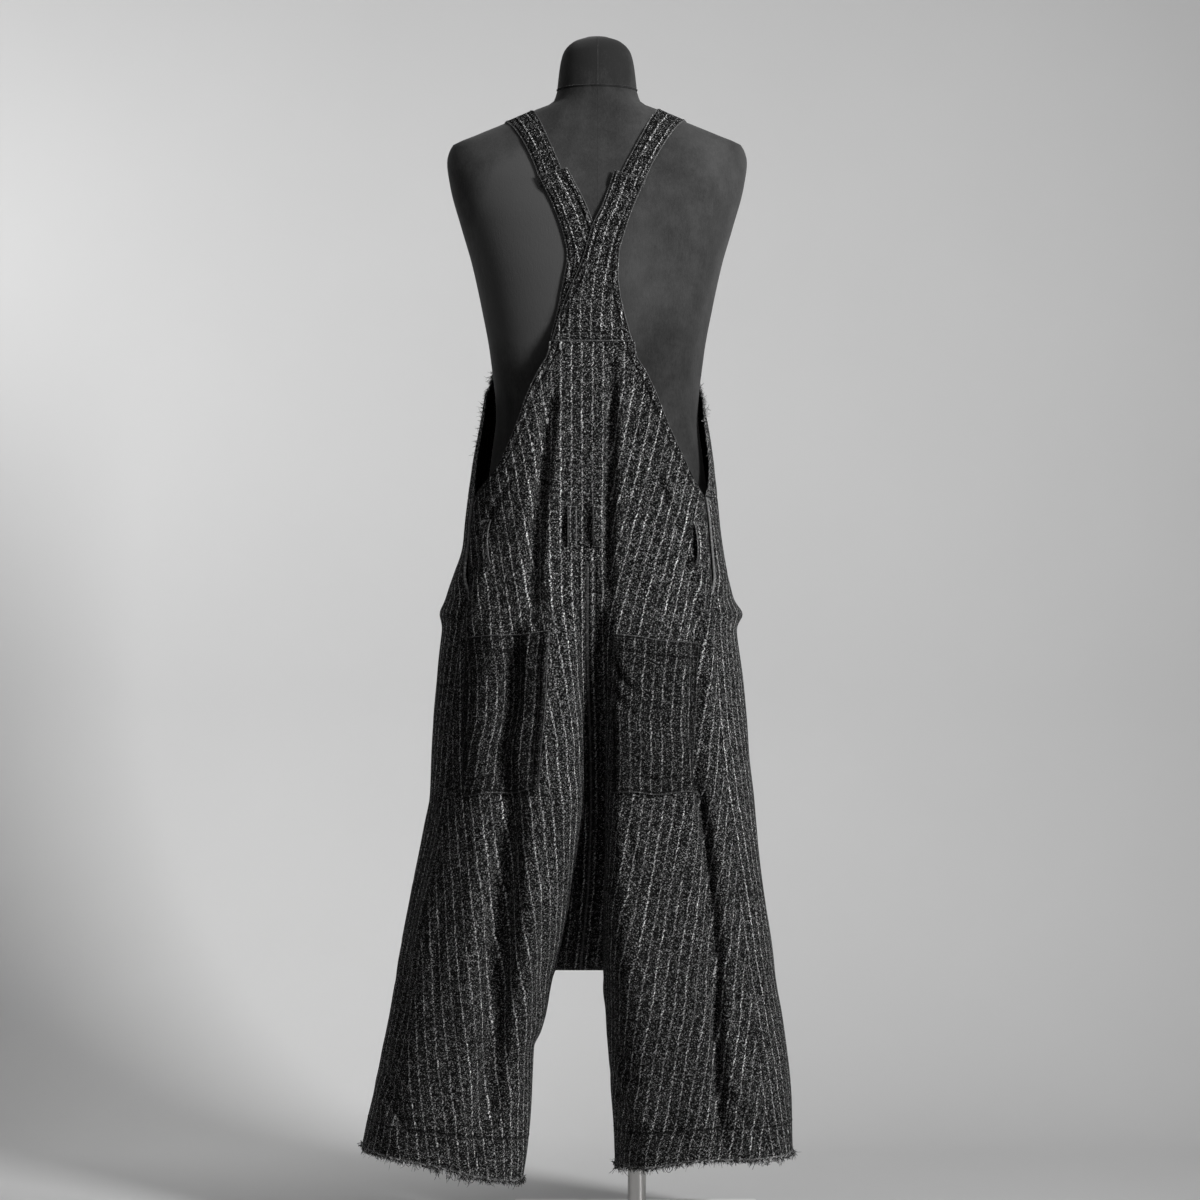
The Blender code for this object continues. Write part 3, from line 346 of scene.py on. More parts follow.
# Creases finer than the folds, by side and face, in millimetres. Each is a width, a depth, which
# below zero makes a ridge, and the places that it follows: distance out and height.
CREASES = {
    (RIGHT, "back"): (
        # the deep fold from the yoke down beside the centre seam, and the full edge beside it
        (5.8, 8.5, (19.2, 1205), (18.5, 1110), (17, 1040), (14.6, 965), (13.2, 880)),
        (8, -3.5, (34, 1180), (32, 1050), (29, 940), (27, 840), (26, 700)),
        (8, -2.5, (3, 1180), (1, 1050), (-1, 940)),
        # the leg's long fold and the ridge outside it
        (5.8, 8, (133, 660), (136.8, 608), (145.7, 556), (151.5, 498), (154.5, 440)),
        (6, 8.5, (156, 440), (163.2, 364), (160.2, 294), (163.2, 236), (167.2, 130)),
        (9, -5.5, (146, 650), (156, 580), (167, 500), (176, 400), (179, 300), (183, 180)),
        (10, -3.5, (120, 640), (133, 500), (144, 360), (147, 220)),
        (4.8, 5, (169, 392), (180, 345), (197, 312)),
        (6, 5.5, (166, 215), (189, 177), (220, 132)),
        (6, -3, (176, 232), (201, 186), (230, 150)),
        # the inner edge of the right leg
        (5.2, 3.2, (30, 620), (37, 575), (50, 515), (52, 440)),
        (6, -2.8, (43, 620), (50, 560), (63, 500)),
        (6, 5, (24, 220), (40, 176), (64, 130)),
        (5, 4, (30, 270), (48, 225), (70, 200)),
        (5.5, -3, (30, 240), (50, 190), (78, 150)),
        (6, 4, (90, 190), (108, 150), (120, 110)),
        # the leg's full inner side
        (26, -15, (40, 480), (46, 360), (56, 240), (66, 60)),
        # the right pocket's pulls and the shade by its outer edge
        (4.5, 4.2, (24, 790), (30, 765), (50, 738)),
        (4.5, 3.6, (18, 760), (34, 725), (56, 700)),
        (5, -2.6, (34, 785), (44, 757), (64, 735)),
        (5, 3.2, (43, 655), (64, 630), (85, 609)),
        (11, 12, (133, 840), (133, 760), (132, 680), (136, 610)),
        (8, -5, (150, 840), (151, 760), (150, 680)),
        # the right seat and the pull to its side loop
        (6, 5.5, (118, 930), (129, 875), (138, 835), (143, 800)),
        (6, -4.5, (127, 935), (139, 880), (148, 830)),
        (4.5, 4, (78, 1040), (93, 1000), (113.6, 946)),
        (5, -2.5, (87, 1040), (102, 1000), (122, 955)),
    ),
    (LEFT, "back"): (
        # the left back's soft valley from the yoke to the pocket, and the full fold inside it
        (8, 9, (58.2, 1165), (66.9, 1092), (72.8, 1034), (81.7, 964), (84.5, 911), (89, 840)),
        (8.5, -6, (43, 1160), (51, 1090), (56, 1030), (64, 960), (68, 880), (66, 800)),
        (9, -3.5, (80, 1120), (88, 1050), (100, 960), (109, 880)),
        (4.8, 4, (113.8, 1034), (143.3, 981), (160.7, 940)),
        (7, 5.5, (160, 930), (172.8, 895), (192.9, 818)),
        (7, -3.5, (145, 930), (158, 880), (170, 820)),
        # the fold down the left pocket
        (13, 14, (109, 830), (112, 780), (113.8, 725), (128.6, 672), (133.9, 600)),
        (9, -7.5, (66, 840), (68, 760), (70, 680), (74, 600)),
        (20, -5, (140, 850), (148, 770), (156, 700), (166, 600)),
        # the left leg's broad fold, and the ridge inside it
        (16, 15, (115, 630), (119.2, 585), (128.6, 469), (133.9, 352), (136.6, 265), (143.3, 177),
         (153, 100)),
        (13, -8, (80, 620), (86, 520), (92, 420), (98, 340), (108, 260), (116, 170)),
        (13, -5, (158, 560), (168, 460), (175, 350), (180, 240), (190, 130)),
        (4.8, 4.5, (64, 560), (66.9, 521), (72.8, 410), (77, 330)),
        (8, 4.5, (220, 590), (230.4, 526), (259.2, 410), (265.2, 236)),
        (6, 5, (290, 230), (278, 190), (256, 140)),
        (6, -3, (300, 210), (288, 165), (268, 125)),
        (6, 4.5, (172, 180), (166, 140), (165, 95)),
        (7, 3, (210, 450), (218, 380), (222, 300)),
    ),
    (RIGHT, "front"): (
        # the fronts
        (11, 7.5, (70, 900), (82, 700), (100, 480), (124, 180)),
        (9, -4.5, (92, 880), (106, 660), (128, 420), (146, 240)),
        (6, 5, (30, 500), (52, 450), (94, 396)),
        (7, 4.5, (160, 540), (178, 490), (200, 430)),
        (6, 4.5, (50, 215), (74, 176), (110, 138)),
        (6, 3.5, (132, 950), (106, 920), (80, 885)),
    ),
    (LEFT, "front"): (
        (12, 8, (80, 910), (96, 700), (122, 470), (146, 170)),
        (10, -5, (102, 880), (122, 650), (148, 420), (170, 220)),
        (6, 5, (42, 510), (70, 460), (112, 416)),
        (7, 4.5, (196, 570), (176, 520), (148, 474)),
        (6, 4.5, (148, 240), (178, 196), (214, 158)),
        (6, 3.5, (124, 960), (98, 930), (70, 895)),
    ),
}
RUMPLES = (  # sizes of the soft wrinkles across and down the cloth, and how deep they are
    (np.array([0.060, 0.060, 0.120]), 0.0020),
    (np.array([0.026, 0.026, 0.050]), 0.0008),
)

# How far the pale stripes lean out towards the top, as a slope, by height.
BySide = namedtuple("BySide", "height left right")
LEANS = rows(
    BySide,
    (0.09, 0.12, 0.12),
    (0.3, 0.115, 0.175),
    (0.44, 0.11, 0.175),
    (0.56, 0.15, 0.165),
    (0.62, 0.08, 0.14),
    (0.68, 0.0, 0.13),
    (0.76, 0.06, 0.19),
    (0.84, 0.13, 0.23),
    (0.92, 0.16, 0.27),
    (1.0, 0.18, 0.26),
    (1.08, 0.2, 0.21),
    (1.14, 0.17, 0.15),
    (1.19, 0.0, 0.0),
    (1.22, 0.0, 0.0),
)
STRIPES_STRAIGHT = 1.190  # above this height the stripes run straight from the centre seam

# Each back has a deep fold beside the centre seam that takes in cloth. Its bottom is this far out,
# and between two heights it goes over to the leg's inner wall.
VALLEYS = in_mm(
    BySide,
    (600, 78, 18.5),
    (700, 80, 18.5),
    (880, 84, 18.5),
    (975, 83.5, 18),
    (1030, 77.5, 17),
    (1077, 70, 16),
    (1127, 59, 15),
    (1212, 42, 14),
)
VALLEY_STARTS = {LEFT: (0.640, 0.700), RIGHT: (0.815, 0.865)}


def along(table, column, height):
    """A column of a table at any height: a smooth curve through its rows, with no overshoot."""
    at = np.array([row[0] for row in table])
    value = np.array([getattr(row, column) for row in table])
    height = np.clip(np.asarray(height, float), at[0], at[-1])
    step = np.diff(at)
    rise = np.diff(value) / step
    slope = np.zeros_like(value)
    same = rise[:-1] * rise[1:] > 0
    slope[1:-1][same] = 2 * (rise[:-1] * rise[1:])[same] / (rise[:-1] + rise[1:])[same]
    slope[0], slope[-1] = rise[0], rise[-1]
    i = np.clip(np.searchsorted(at, height) - 1, 0, len(step) - 1)
    t = (height - at[i]) / step[i]
    start = value[i] * (1 + 2 * t) + slope[i] * step[i] * t
    end = value[i + 1] * (3 - 2 * t) - slope[i + 1] * step[i] * (1 - t)
    return start * (1 - t) ** 2 + end * t**2


def widths(side, height):
    """Distances out, at these heights, of the inner seam, the wall, the ridge and the outside."""
    wall_out, ridge, outer = (along(SIDE_ROWS[side], c, height) for c in ("wall", "ridge", "outer"))
    middle = side * along(DEPTHS, "middle", height)
    inner = np.where(height < FORK, wall_out, middle)
    wall_out = np.where(height < FORK, wall_out, np.maximum(wall_out, middle + WEB_LEAST))
    return inner, wall_out, ridge, outer


def quarter(turned, start, end):
    """The angle of a quarter circle at a place between two turns."""
    return 0.5 * pi * np.clip((turned - start) / (end - start), 0.0, 1.0)


def columns(*values):
    return np.stack(values, axis=-1)


def smoothstep(low, high, value):
    t = np.clip((value - low) / (high - low), 0.0, 1.0)
    return t * t * (3 - 2 * t)


def folded(side, face, out, height):
    """How far the folds of one face press the cloth in at a place."""
    total = np.zeros_like(out)
    for fold in FOLDS:
        if (fold.side, fold.face) != (side, face):
            continue
        share = (fold.top - height) / (fold.top - fold.bottom)
        middle = fold.top_out + (fold.bottom_out - fold.top_out) * share
        ends = smoothstep(fold.top, fold.top - FOLD_ENDS, height)
        ends = ends * smoothstep(fold.bottom, fold.bottom + FOLD_ENDS, height)
        total = total + fold.depth * ends * np.exp(-(((out - middle) / fold.width) ** 2))
    return total


def ring(side, height, turn):
    """The outer face of the cloth: points at these heights and turns, as an array (..., 3)."""
    height, turn = np.broadcast_arrays(height, turn)
    inner, wall_out, ridge, outer = widths(side, height)
    behind = turn <= 1.0
    turned = np.where(behind, turn, 2.0 - turn)
    face = np.where(behind, along(DEPTHS, "back", height), along(DEPTHS, "front", height))
    seam = np.where(behind, along(DEPTHS, "seat", height), along(DEPTHS, "fork", height))
    web = np.clip(turned / WEB_SHARE, 0.0, 1.0)
    near = np.cos(quarter(turned, WEB_SHARE, INNER_SHARE))
    far = np.sin(quarter(turned, INNER_SHARE, 1.0))
    out = ridge - (ridge - wall_out) * near + (outer - ridge) * far - (wall_out - inner) * (1 - web)
    softness = along(DEPTHS, "softness", height) - ROUND_SOFTNESS
    rise = (1.0 - near**2) ** (ROUND_SOFTNESS + SOFTENED[side] * softness)
    corner = np.maximum(1.0 - far**CORNER, 0.0) ** (1.0 / CORNER)
    deep = np.where(
        turned < INNER_SHARE, seam + (face - seam) * rise, HIP_LINE + (face - HIP_LINE) * corner
    )
    pressed = np.where(
        behind, -folded(side, "back", out, height), folded(side, "front", out, height)
    )
    deep = deep + pressed * corner * rise
    gape = (height - GAPE_HEIGHT[side]) / GAPE_REACH
    out = out + GAPE[side] * np.exp(-(gape**2)) * far**8
    return columns(side * out, deep, height)


def turn_at(side, height, out):
    """The turn on the back of the ring at a distance out."""
    inner, wall_out, ridge, outer = widths(side, height)
    web = np.clip((out - inner) / np.maximum(wall_out - inner, 1e-9), 0.0, 1.0)
    near = np.arccos(np.clip((ridge - out) / (ridge - wall_out), 0.0, 1.0)) / (0.5 * pi)
    far = np.arcsin(np.clip((out - ridge) / (outer - ridge), 0.0, 1.0)) / (0.5 * pi)
    return WEB_SHARE * web + (INNER_SHARE - WEB_SHARE) * near + (1 - INNER_SHARE) * far


def face_normals(side, height, turn):
    """Level unit normals of the ring's outer face."""
    low, high = np.clip(turn - 1e-3, 0.0, 2.0), np.clip(turn + 1e-3, 0.0, 2.0)
    across = ring(side, height, high) - ring(side, height, low)
    normal = np.cross([0.0, 0.0, side], across)
    return normal / np.linalg.norm(normal, axis=-1, keepdims=True)


def hem_drop(side, nominal, turn):
    """A row's true heights: near the hem the rows follow its slope."""
    out = side * ring(side, HEM, turn)[..., 0]
    hem = along(HEMS[side], "height", out)
    share = np.clip((STEADY - nominal) / (STEADY - HEM), 0.0, None)
    return np.where(nominal < STEADY, STEADY - (STEADY - hem) * share, nominal)


# ---- the cloth's fine surface ----
def lattice(cell, seed):
    """A value from 0 to 1 for each whole-number place."""
    x, y, z = (cell[..., axis].astype(np.int64) for axis in range(3))
    mixed = (x * 374761393 + y * 668265263 + z * 362437069 + seed * 974711) & 0xFFFFFFFF
    mixed = ((mixed ^ (mixed >> 13)) * 1274126177) & 0xFFFFFFFF
    return ((mixed ^ (mixed >> 16)) & 0xFFFF) / 65535.0


def rumple(points, size, seed):
    """Smooth bumps of about this size, from -1 to 1."""
    at = points / size
    cell = np.floor(at)
    t = at - cell
    t = t * t * (3 - 2 * t)
    total = 0.0
    for corner in itertools.product((0, 1), repeat=3):
        weight = np.prod(np.where(corner, t, 1 - t), axis=-1)
        total = total + weight * lattice(cell + corner, seed)
    return 2 * total - 1


def creased(side, face, out, height):
    """How far the creases of one face press the cloth in at a place."""
    total = np.zeros_like(out)
    for width, depth, *line in CREASES[side, face]:
        line = np.array(line) / 1000
        runs = np.diff(line, axis=0)
        lengths = np.hypot(*runs.T)
        away, share = np.full_like(out, np.inf), np.zeros_like(out)
        for start, run, length, before in zip(line, runs, lengths, np.cumsum(lengths) - lengths):
            x, y = out - start[0], height - start[1]
            along_it = np.clip((x * run[0] + y * run[1]) / length**2, 0.0, 1.0)
            near = np.hypot(x - along_it * run[0], y - along_it * run[1])
            share = np.where(near < away, (before + along_it * length) / lengths.sum(), share)
            away = np.minimum(away, near)
        swell = 0.15 + 0.85 * np.sqrt(np.sin(pi * np.clip(share, 0.0, 1.0)))
        total = total + depth / 1000 * swell * np.exp(-((away / width * 1000) ** 2))
    return total


def cloth(side, height, turn, lift=0.0):
    """The outer face of the worn cloth and its normals, at these true heights and turns."""
    height, turn = np.broadcast_arrays(height, turn)
    point, normal = ring(side, height, turn), face_normals(side, height, turn)
    out = side * point[..., 0]
    behind = turn <= 1.0
    pressed = np.where(
        behind, creased(side, "back", out, height), creased(side, "front", out, height)
    )
    turned = np.where(behind, turn, 2.0 - turn)
    steady = np.maximum(smoothstep(0.0, WEB_SHARE, turned), smoothstep(0.90, 1.00, height))
    steady = steady * (1 - 0.7 * smoothstep(YOKE - 0.03, YOKE, height))
    waves = sum(depth * rumple(point, size, 3 + i) for i, (size, depth) in enumerate(RUMPLES))
    return point + (lift + (waves - pressed) * steady)[..., None] * normal, normal


def rounded(distance, thick):
    """How full a cloth's thickness is, at a distance from its rounded edge."""
    t = np.clip(distance / (0.6 * thick), 0.0, 1.0)
    return np.sqrt(np.clip(1.0 - (1.0 - t) ** 2, 0.0, 1.0)) * 0.96 + 0.04


# ---- rows of a panel ----
def measured_rows(side, face, heights, start, end, samples=260):
    """Turns along each row from a start to an end, and how far along the row each lies."""
    share = np.linspace(0.0, 1.0, samples)
    turned = start[:, None] + (end - start)[:, None] * share
    turn = turned if face > 0 else 2.0 - turned
    points = ring(side, heights[:, None], turn)
    run = np.linalg.norm(np.diff(points, axis=1), axis=-1)
    return turn, np.concatenate([np.zeros((len(heights), 1)), np.cumsum(run, axis=1)], axis=1)


def at_distances(turn, arc, distance):
    """The turns at these distances along each row."""
    return np.stack([np.interp(d, a, t) for d, a, t in zip(distance, arc, turn)])


def columns_for(arc, step=STEP, near=NEAR):
    """Distances along each row: evenly spaced, and closer together by both edges."""
    length = arc[:, -1:]
    count = max(3, int(np.ceil((length.max() - 2 * near[-1]) / step)))
    even = np.linspace(0.0, 1.0, count + 1)[1:-1]
    middle = near[-1] + (length - 2 * near[-1]) * even
    return np.concatenate([near + 0 * length, middle, length - near[::-1]], axis=1)


def rows_between(low, high, step=STEP, near_low=True, near_high=True):
    """Heights from low to high, closer together by the ends that are edges."""
    bottom = low + NEAR if near_low else np.array([low])
    top = high - NEAR[::-1] if near_high else np.array([high])
    count = max(2, int(np.ceil((top[0] - bottom[-1]) / step)))
    return np.concatenate([bottom, np.linspace(bottom[-1], top[0], count + 1)[1:-1], top])


def back_edge(side, height):
    """The turn of a back panel's side edge."""
    return turn_at(side, height, along(SIDE_ROWS[side], "edge", height))


# The bib's raw side edges, as turns from the centre back, by height: from the fronts' corners
# behind the hips they go forward to the bib's own top corners.
BIB_EDGES = rows(
    BySide,
    (WAIST, 0.812, 0.753),
    (1.02, 0.838, 0.802),
    (1.05, 0.866, 0.846),
    (1.1, 0.89, 0.88),
    (1.14, 0.95, 0.95),
    (1.165, 1.07, 1.1),
    (1.2, 1.2, 1.21),
    (1.26, 1.32, 1.32),
    (BIB_TOP, 1.409, 1.4),
)
SLIT_TURN = 0.022  # share of a turn that a side slit stands open
SLIT_RISE = 0.030  # height over which it opens


def bib_turn(side, height):
    """The turn of the bib's raw side edge."""
    return along(BIB_EDGES, SIDES[side], height)


def front_edge(side, height):
    """The front's side edge: above the end of the side slit it stands a little off the back's."""
    slit = SLIT_TURN * smoothstep(SLIT_END, SLIT_END + SLIT_RISE, height)
    return 2.0 - back_edge(side, height) - slit


def split_turn(side, face, height):
    """The turn of the line where the leg's cloth and the cloth over the fork part."""
    wall_out = widths(side, height)[1]
    if face > 0:
        share = smoothstep(*VALLEY_STARTS[side], height)
        valley = along(VALLEYS, SIDES[side], height)
        wall_out = wall_out + (valley - wall_out) * share
    return np.maximum(turn_at(side, height, wall_out), WEB_SHARE)


def side_edge(side, face, height):
    return back_edge(side, height) if face > 0 else front_edge(side, height)


# ---- meshes ----
def placed(name, data):
    """A new object in the scene."""
    thing = bpy.data.objects.new(name, data)
    bpy.context.scene.collection.objects.link(thing)
    return thing


def shown(name, mesh, looks, smooth_angle):
    """A new object of the part, with its looks."""
    for look in looks:
        mesh.materials.append(LOOKS[look])
    mesh.shade_smooth()
    mesh.set_sharp_from_angle(angle=math.radians(smooth_angle))
    thing = placed(name, mesh)
    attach(thing, "root")
    return thing


def new_object(name, points, faces, looks, maps=None, smooth_angle=45.0):
    mesh = bpy.data.meshes.new(name)
    mesh.from_pydata(np.asarray(points, float).tolist(), [], [tuple(f) for f in faces])
    for label, values in (maps or {}).items():
        layer = mesh.uv_layers.new(name=label)
        layer.data.foreach_set("uv", np.asarray(values, np.float32).ravel())
    return shown(name, mesh, looks, smooth_angle)


def run_lengths(points, axis):
    """How far along a grid's rows or columns, or along a line, each point lies."""
    step = np.linalg.norm(np.diff(points, axis=axis), axis=-1)
    start = np.zeros_like(np.take(step, [0], axis=axis))
    return np.concatenate([start, np.cumsum(step, axis=axis)], axis=axis)


def spans(points):
    """How far across and how far down a grid each of its points lies."""
    return run_lengths(points, 1), run_lengths(points, 0)


def centred(across):
    """Distances across a grid, from its middle column."""
    return across - across[:, across.shape[1] // 2][:, None]


def read_off(at, arc, line):
    """The points or normals of a line at these distances along it."""
    return np.stack([np.interp(at, arc, line[:, k]) for k in range(3)], axis=-1)


def unit(vectors):
    return vectors / (np.linalg.norm(vectors, axis=-1, keepdims=True) + TINY)


class Skin:
    """One face of a cloth: points, normals, four-cornered faces and, for each corner of each
    face, where it lies in the weave and how far it is from the edges."""

    def __init__(self):
        self.grids, self.patches, self.count = [], [], 0

    def add_points(self, points, normals, full, thick):
        """Adds a grid of points. full says how full the thickness is, and returns their numbers."""
        shape = points.shape[:-1]
        walls = [np.broadcast_to(values, shape).ravel() for values in (full, thick)]
        self.grids.append([points.reshape(-1, 3), normals.reshape(-1, 3), *walls])
        numbers = self.count + np.arange(walls[0].size).reshape(shape)
        self.count += numbers.size
        return numbers

    def add_faces(self, numbers, weave, edge):
        """Adds the faces of a grid of point numbers, with both maps' values at its points."""
        ends = (slice(None, -1), slice(1, None))
        corners = [(ends[0], ends[0]), (ends[0], ends[1]), (ends[1], ends[1]), (ends[1], ends[0])]
        self.patches.append([
            np.stack([grid[corner] for corner in corners], axis=2).reshape(-1, 4, *grid.shape[2:])
            for grid in (numbers, weave, edge)
        ])

    def shell(self, name, look):
        """A wall with the cloth's thickness: the face, the same face inside it, and the edges."""
        points, normals, full, thick = (np.concatenate(one) for one in zip(*self.grids))
        faces, weave, edge = (np.concatenate(one) for one in zip(*self.patches))
        a, b, c = (points[faces[:, i]] for i in (0, 1, 2))
        if (np.cross(b - a, c - a) * normals[faces].mean(axis=1)).sum() < 0:
            faces, weave, edge = (one[:, ::-1] for one in (faces, weave, edge))
        sunk = (thick * (1 - full) / 2)[:, None] * normals
        outer, inner = points - sunk, points - thick[:, None] * normals + sunk
        size = len(points)
        starts, ends = faces.ravel(), np.roll(faces, -1, axis=1).ravel()
        places = {pair: i for i, pair in enumerate(zip(starts.tolist(), ends.tolist()))}
        rims = [(s, e, i) for (s, e), i in places.items() if (e, s) not in places]
        rim = np.array([(s, s + size, e + size, e) for s, e, _ in rims])
        corner = np.array([i for _, _, i in rims])
        following = (corner // 4) * 4 + (corner + 1) % 4
        order = np.stack([corner, corner, following, following], axis=1)
        every = np.concatenate([faces, faces[:, ::-1] + size, rim])
        maps = {
            label: np.concatenate([
                values.reshape(-1, 2), values[:, ::-1].reshape(-1, 2),
                values.reshape(-1, 2)[order].reshape(-1, 2),
            ])
            for label, values in (("Weave", weave), ("Edge", edge))
        }
        return new_object(name, np.concatenate([outer, inner]), every, [look], maps)


FAR = 0.5  # a distance that stands for no edge near


def plain_skin(name, points, normals, measured, thick, look, weave):
    """A four-edged piece on a grid, with how far across and down it each point was measured."""
    side, end = (
        np.minimum(run, run.max(axis=axis, keepdims=True) - run)
        for run, axis in zip(measured, (1, 0))
    )
    skin = Skin()
    numbers = skin.add_points(points, normals, rounded(np.minimum(side, end), thick), thick)
    skin.add_faces(numbers, weave, columns(side, end))
    return skin.shell(name, look)


# ---- the four panels ----
SIDE_HEM = 0.0130  # width of the hem turned along a free side edge
HEM_GROWS = 0.03  # height over which that hem begins
STRIPES_MEET = (0.86, 1.00)  # between these heights the stripes' line goes to a panel's middle
WEB_COLUMNS = 22  # columns over the web of the left back, which a deep fold widens
FEW_COLUMNS = 9  # and over the others
WEB_EDGE = 0.010  # a web narrower than this has its edge columns drawn closer


def panel_rows(face):
    """Nominal heights of a panel's rows, and which of them is at the fork."""
    top = (YOKE if face > 0 else WAIST) - SEAM
    leg = rows_between(HEM, FORK, near_high=False)
    body = rows_between(FORK, top, near_low=False)
    return np.concatenate([leg, body[1:]]), len(leg) - 1


def panel_edges(side, face, heights):
    """The turns between which a panel's leg cloth lies at these heights."""
    return split_turn(side, face, heights), side_edge(side, face, heights)


def summed(rate, heights):
    """The sum of a rate over the heights, from the lowest one up."""
    return np.concatenate([[0], np.cumsum((rate[1:] + rate[:-1]) / 2 * np.diff(heights))])


def drift(side, face, heights, turn, arc, web_length):
    """How far the stripes have moved across a row, so that they lean as the table of leans says."""
    if face < 0:
        edge_out = side * ring(side, heights, turn[:, -1])[:, 0]
        return summed(np.gradient(edge_out, heights) * 0.5, heights) - arc[:, -1]
    table = SIDE_ROWS[side]
    half_way = (along(table, "ridge", heights) + along(table, "edge", heights)) / 2
    outs = side * ring(side, heights[:, None], turn)[..., 0]
    share = smoothstep(*STRIPES_MEET, heights)
    middle_out = half_way + ((outs[:, 0] + outs[:, -1]) / 2 - half_way) * share
    middle = np.array([np.interp(m, o, a) for m, o, a in zip(middle_out, outs, arc)])
    rate = along(LEANS, SIDES[side], heights) - np.gradient(middle_out, heights)
    start = np.searchsorted(heights, STRIPES_STRAIGHT)
    total = middle + summed(rate, heights)
    leant = total[start] + web_length[start] - total
    moved = np.where(heights >= heights[start], web_length, leant)
    low, high = VALLEY_STARTS[side]
    met = np.argmin(np.abs(heights - (low + high) / 2))
    missed = moved[met] - web_length[met]
    missed = missed - PITCH * np.round(missed / PITCH)
    return moved - missed * smoothstep(STRIPES_STRAIGHT, high, heights)


def make_panel(side, face, name, look="tweed"):
    """A front or back of one side: the leg's cloth, and the cloth over the fork that it joins."""
    heights, fork_row = panel_rows(face)
    split, edge_turn = panel_edges(side, face, heights)
    turn_rows, arc = measured_rows(side, face, heights, split, edge_turn)
    distance = columns_for(arc)
    turn = at_distances(turn_rows, arc, distance)
    to_side = arc[:, -1:] - distance
    nominal = heights[:, None] + 0 * turn
    to_hem, to_top = nominal - HEM, nominal.max() - nominal
    points, normal = cloth(side, hem_drop(side, nominal, turn), turn)
    free_from = FREE_EDGE - 0.03 if face > 0 else SLIT_END - 0.01
    side_free = smoothstep(free_from, free_from + HEM_GROWS, nominal)
    doubled = 1 + 0.9 * side_free * smoothstep(SIDE_HEM + 0.0015, SIDE_HEM - 0.0015, to_side)
    rim = np.minimum(to_side, np.minimum(to_hem, to_top))
    rim = np.where((heights < FORK)[:, None], np.minimum(rim, distance), rim)
    skin = Skin()
    leg = skin.add_points(points, normal, rounded(rim, CLOTH), CLOTH * doubled)

    body = heights[fork_row:]
    web_rows, web_arc = measured_rows(side, face, body, 0 * body, split[fork_row:], 60)
    length = web_arc[:, -1:]
    even_count = WEB_COLUMNS if face > 0 and side == LEFT else FEW_COLUMNS
    near = (NEAR[:-1] + 0 * length) * np.minimum(1.0, length / WEB_EDGE)
    even = NEAR[-2] + (length - NEAR[-2]) * np.linspace(0.0, 1.0, even_count)[1:]
    web_distance = np.minimum(np.concatenate([near, even], axis=1), length)
    web_distance = np.maximum.accumulate(web_distance, axis=1)
    web_turn = at_distances(web_rows, web_arc, web_distance)
    web_points, web_normal = cloth(side, body[:, None], web_turn)
    covered = smoothstep(CENTRE_SEAM_TOP - 0.02, CENTRE_SEAM_TOP + 0.01, body)[:, None]
    sewn = web_distance + FAR * covered
    web_rim = np.minimum(sewn, (body - FORK)[:, None] + 0 * web_turn)
    web_rim = np.minimum(web_rim, body.max() - body[:, None])[:, :-1]
    web = skin.add_points(web_points[:, :-1], web_normal[:, :-1], rounded(web_rim, CLOTH), CLOTH)
    web = np.concatenate([web, leg[fork_row:, :1]], axis=1)

    web_length = np.zeros(len(heights))
    web_length[fork_row:] = web_arc[:, -1]
    moved = drift(side, face, heights, turn_rows, arc, web_length)[:, None]
    free = np.where(side_free > 0.5, to_side, FAR)
    for numbers, across, down, edge in (
        (leg, side * (distance + moved), nominal, (free, to_hem)),
        (web, side * web_distance, body[:, None] + 0 * sewn, (sewn, 0 * sewn + FAR)),
    ):
        skin.add_faces(numbers, columns(across, down), np.stack(edge, axis=-1))
    return skin.shell(name, look)


# ---- bib ----
BIB_COLUMNS = 80
BIB_THICKER = 1.2  # the bib's wall to the rest's
BIB_WIDTH = 0.34  # roughly, for the columns that round its edges


def across_sides(height, share):
    """Joins both sides of the body into one face: share 0 is its left edge and 1 its right."""
    left = cloth(LEFT, height, 2.0 - (2.0 - bib_turn(LEFT, height)) * (1 - 2 * share))
    right = cloth(RIGHT, height, 2.0 - (2.0 - bib_turn(RIGHT, height)) * (2 * share - 1))
    half = (share <= 0.5)[..., None]
    return tuple(np.where(half, a, b) for a, b in zip(left, right))


def edged_shares(width, first, count):
    """Shares of a width: evenly spaced from the first distance in, and closer by both edges."""
    near, first = NEAR / width, first / width
    return np.concatenate([near, np.linspace(first, 1 - first, count), 1 - near[::-1]])


def make_bib():
    heights = rows_between(WAIST + SEAM, BIB_TOP)
    shares = edged_shares(BIB_WIDTH, 0.00544, BIB_COLUMNS)
    height, share = np.meshgrid(heights[::-1], shares, indexing="ij")
    points, normal = across_sides(height, share)
    across, down = measured = spans(points)
    weave = columns(centred(across), -down)
    thick = CLOTH * BIB_THICKER
    return plain_skin("bib_cloth", points, normal, measured, thick, "tweed_edged", weave)


# ---- pockets ----
POCKET_TURNED = 0.022  # depth of the turned hem at a pocket's top
POCKET_EDGE = 0.0095  # how far its other edges are turned under
POCKET_HEM_LIFT = 0.0009  # what a turned edge adds
POCKET_GAPE = 0.0024
POCKET_PUFF = 0.0026
POCKET_PALENESS = 0.62  # of its flecks and stripes, to the panels'


def pocket_grid(side, u, v):
    """Distance out and height of places on a pocket: u across from its inner side, v down."""
    out, height = (
        (top_in * (1 - u) + top_out * u) * (1 - v) + (low_in * (1 - u) + low_out * u) * v
        for top_in, top_out, low_out, low_in in zip(*POCKETS[side])
    )
    sag = 0.0022 * np.sin(pi * u) - 0.0015 * np.sin(3.3 * pi * u + side)
    bulge = 0.0012 * np.sin(pi * v) * np.sin(2.5 * pi * v + 1.0)
    return out + bulge * (1 - 2 * u), height - sag * (v**2 + 0.5 * (1 - v) ** 4)


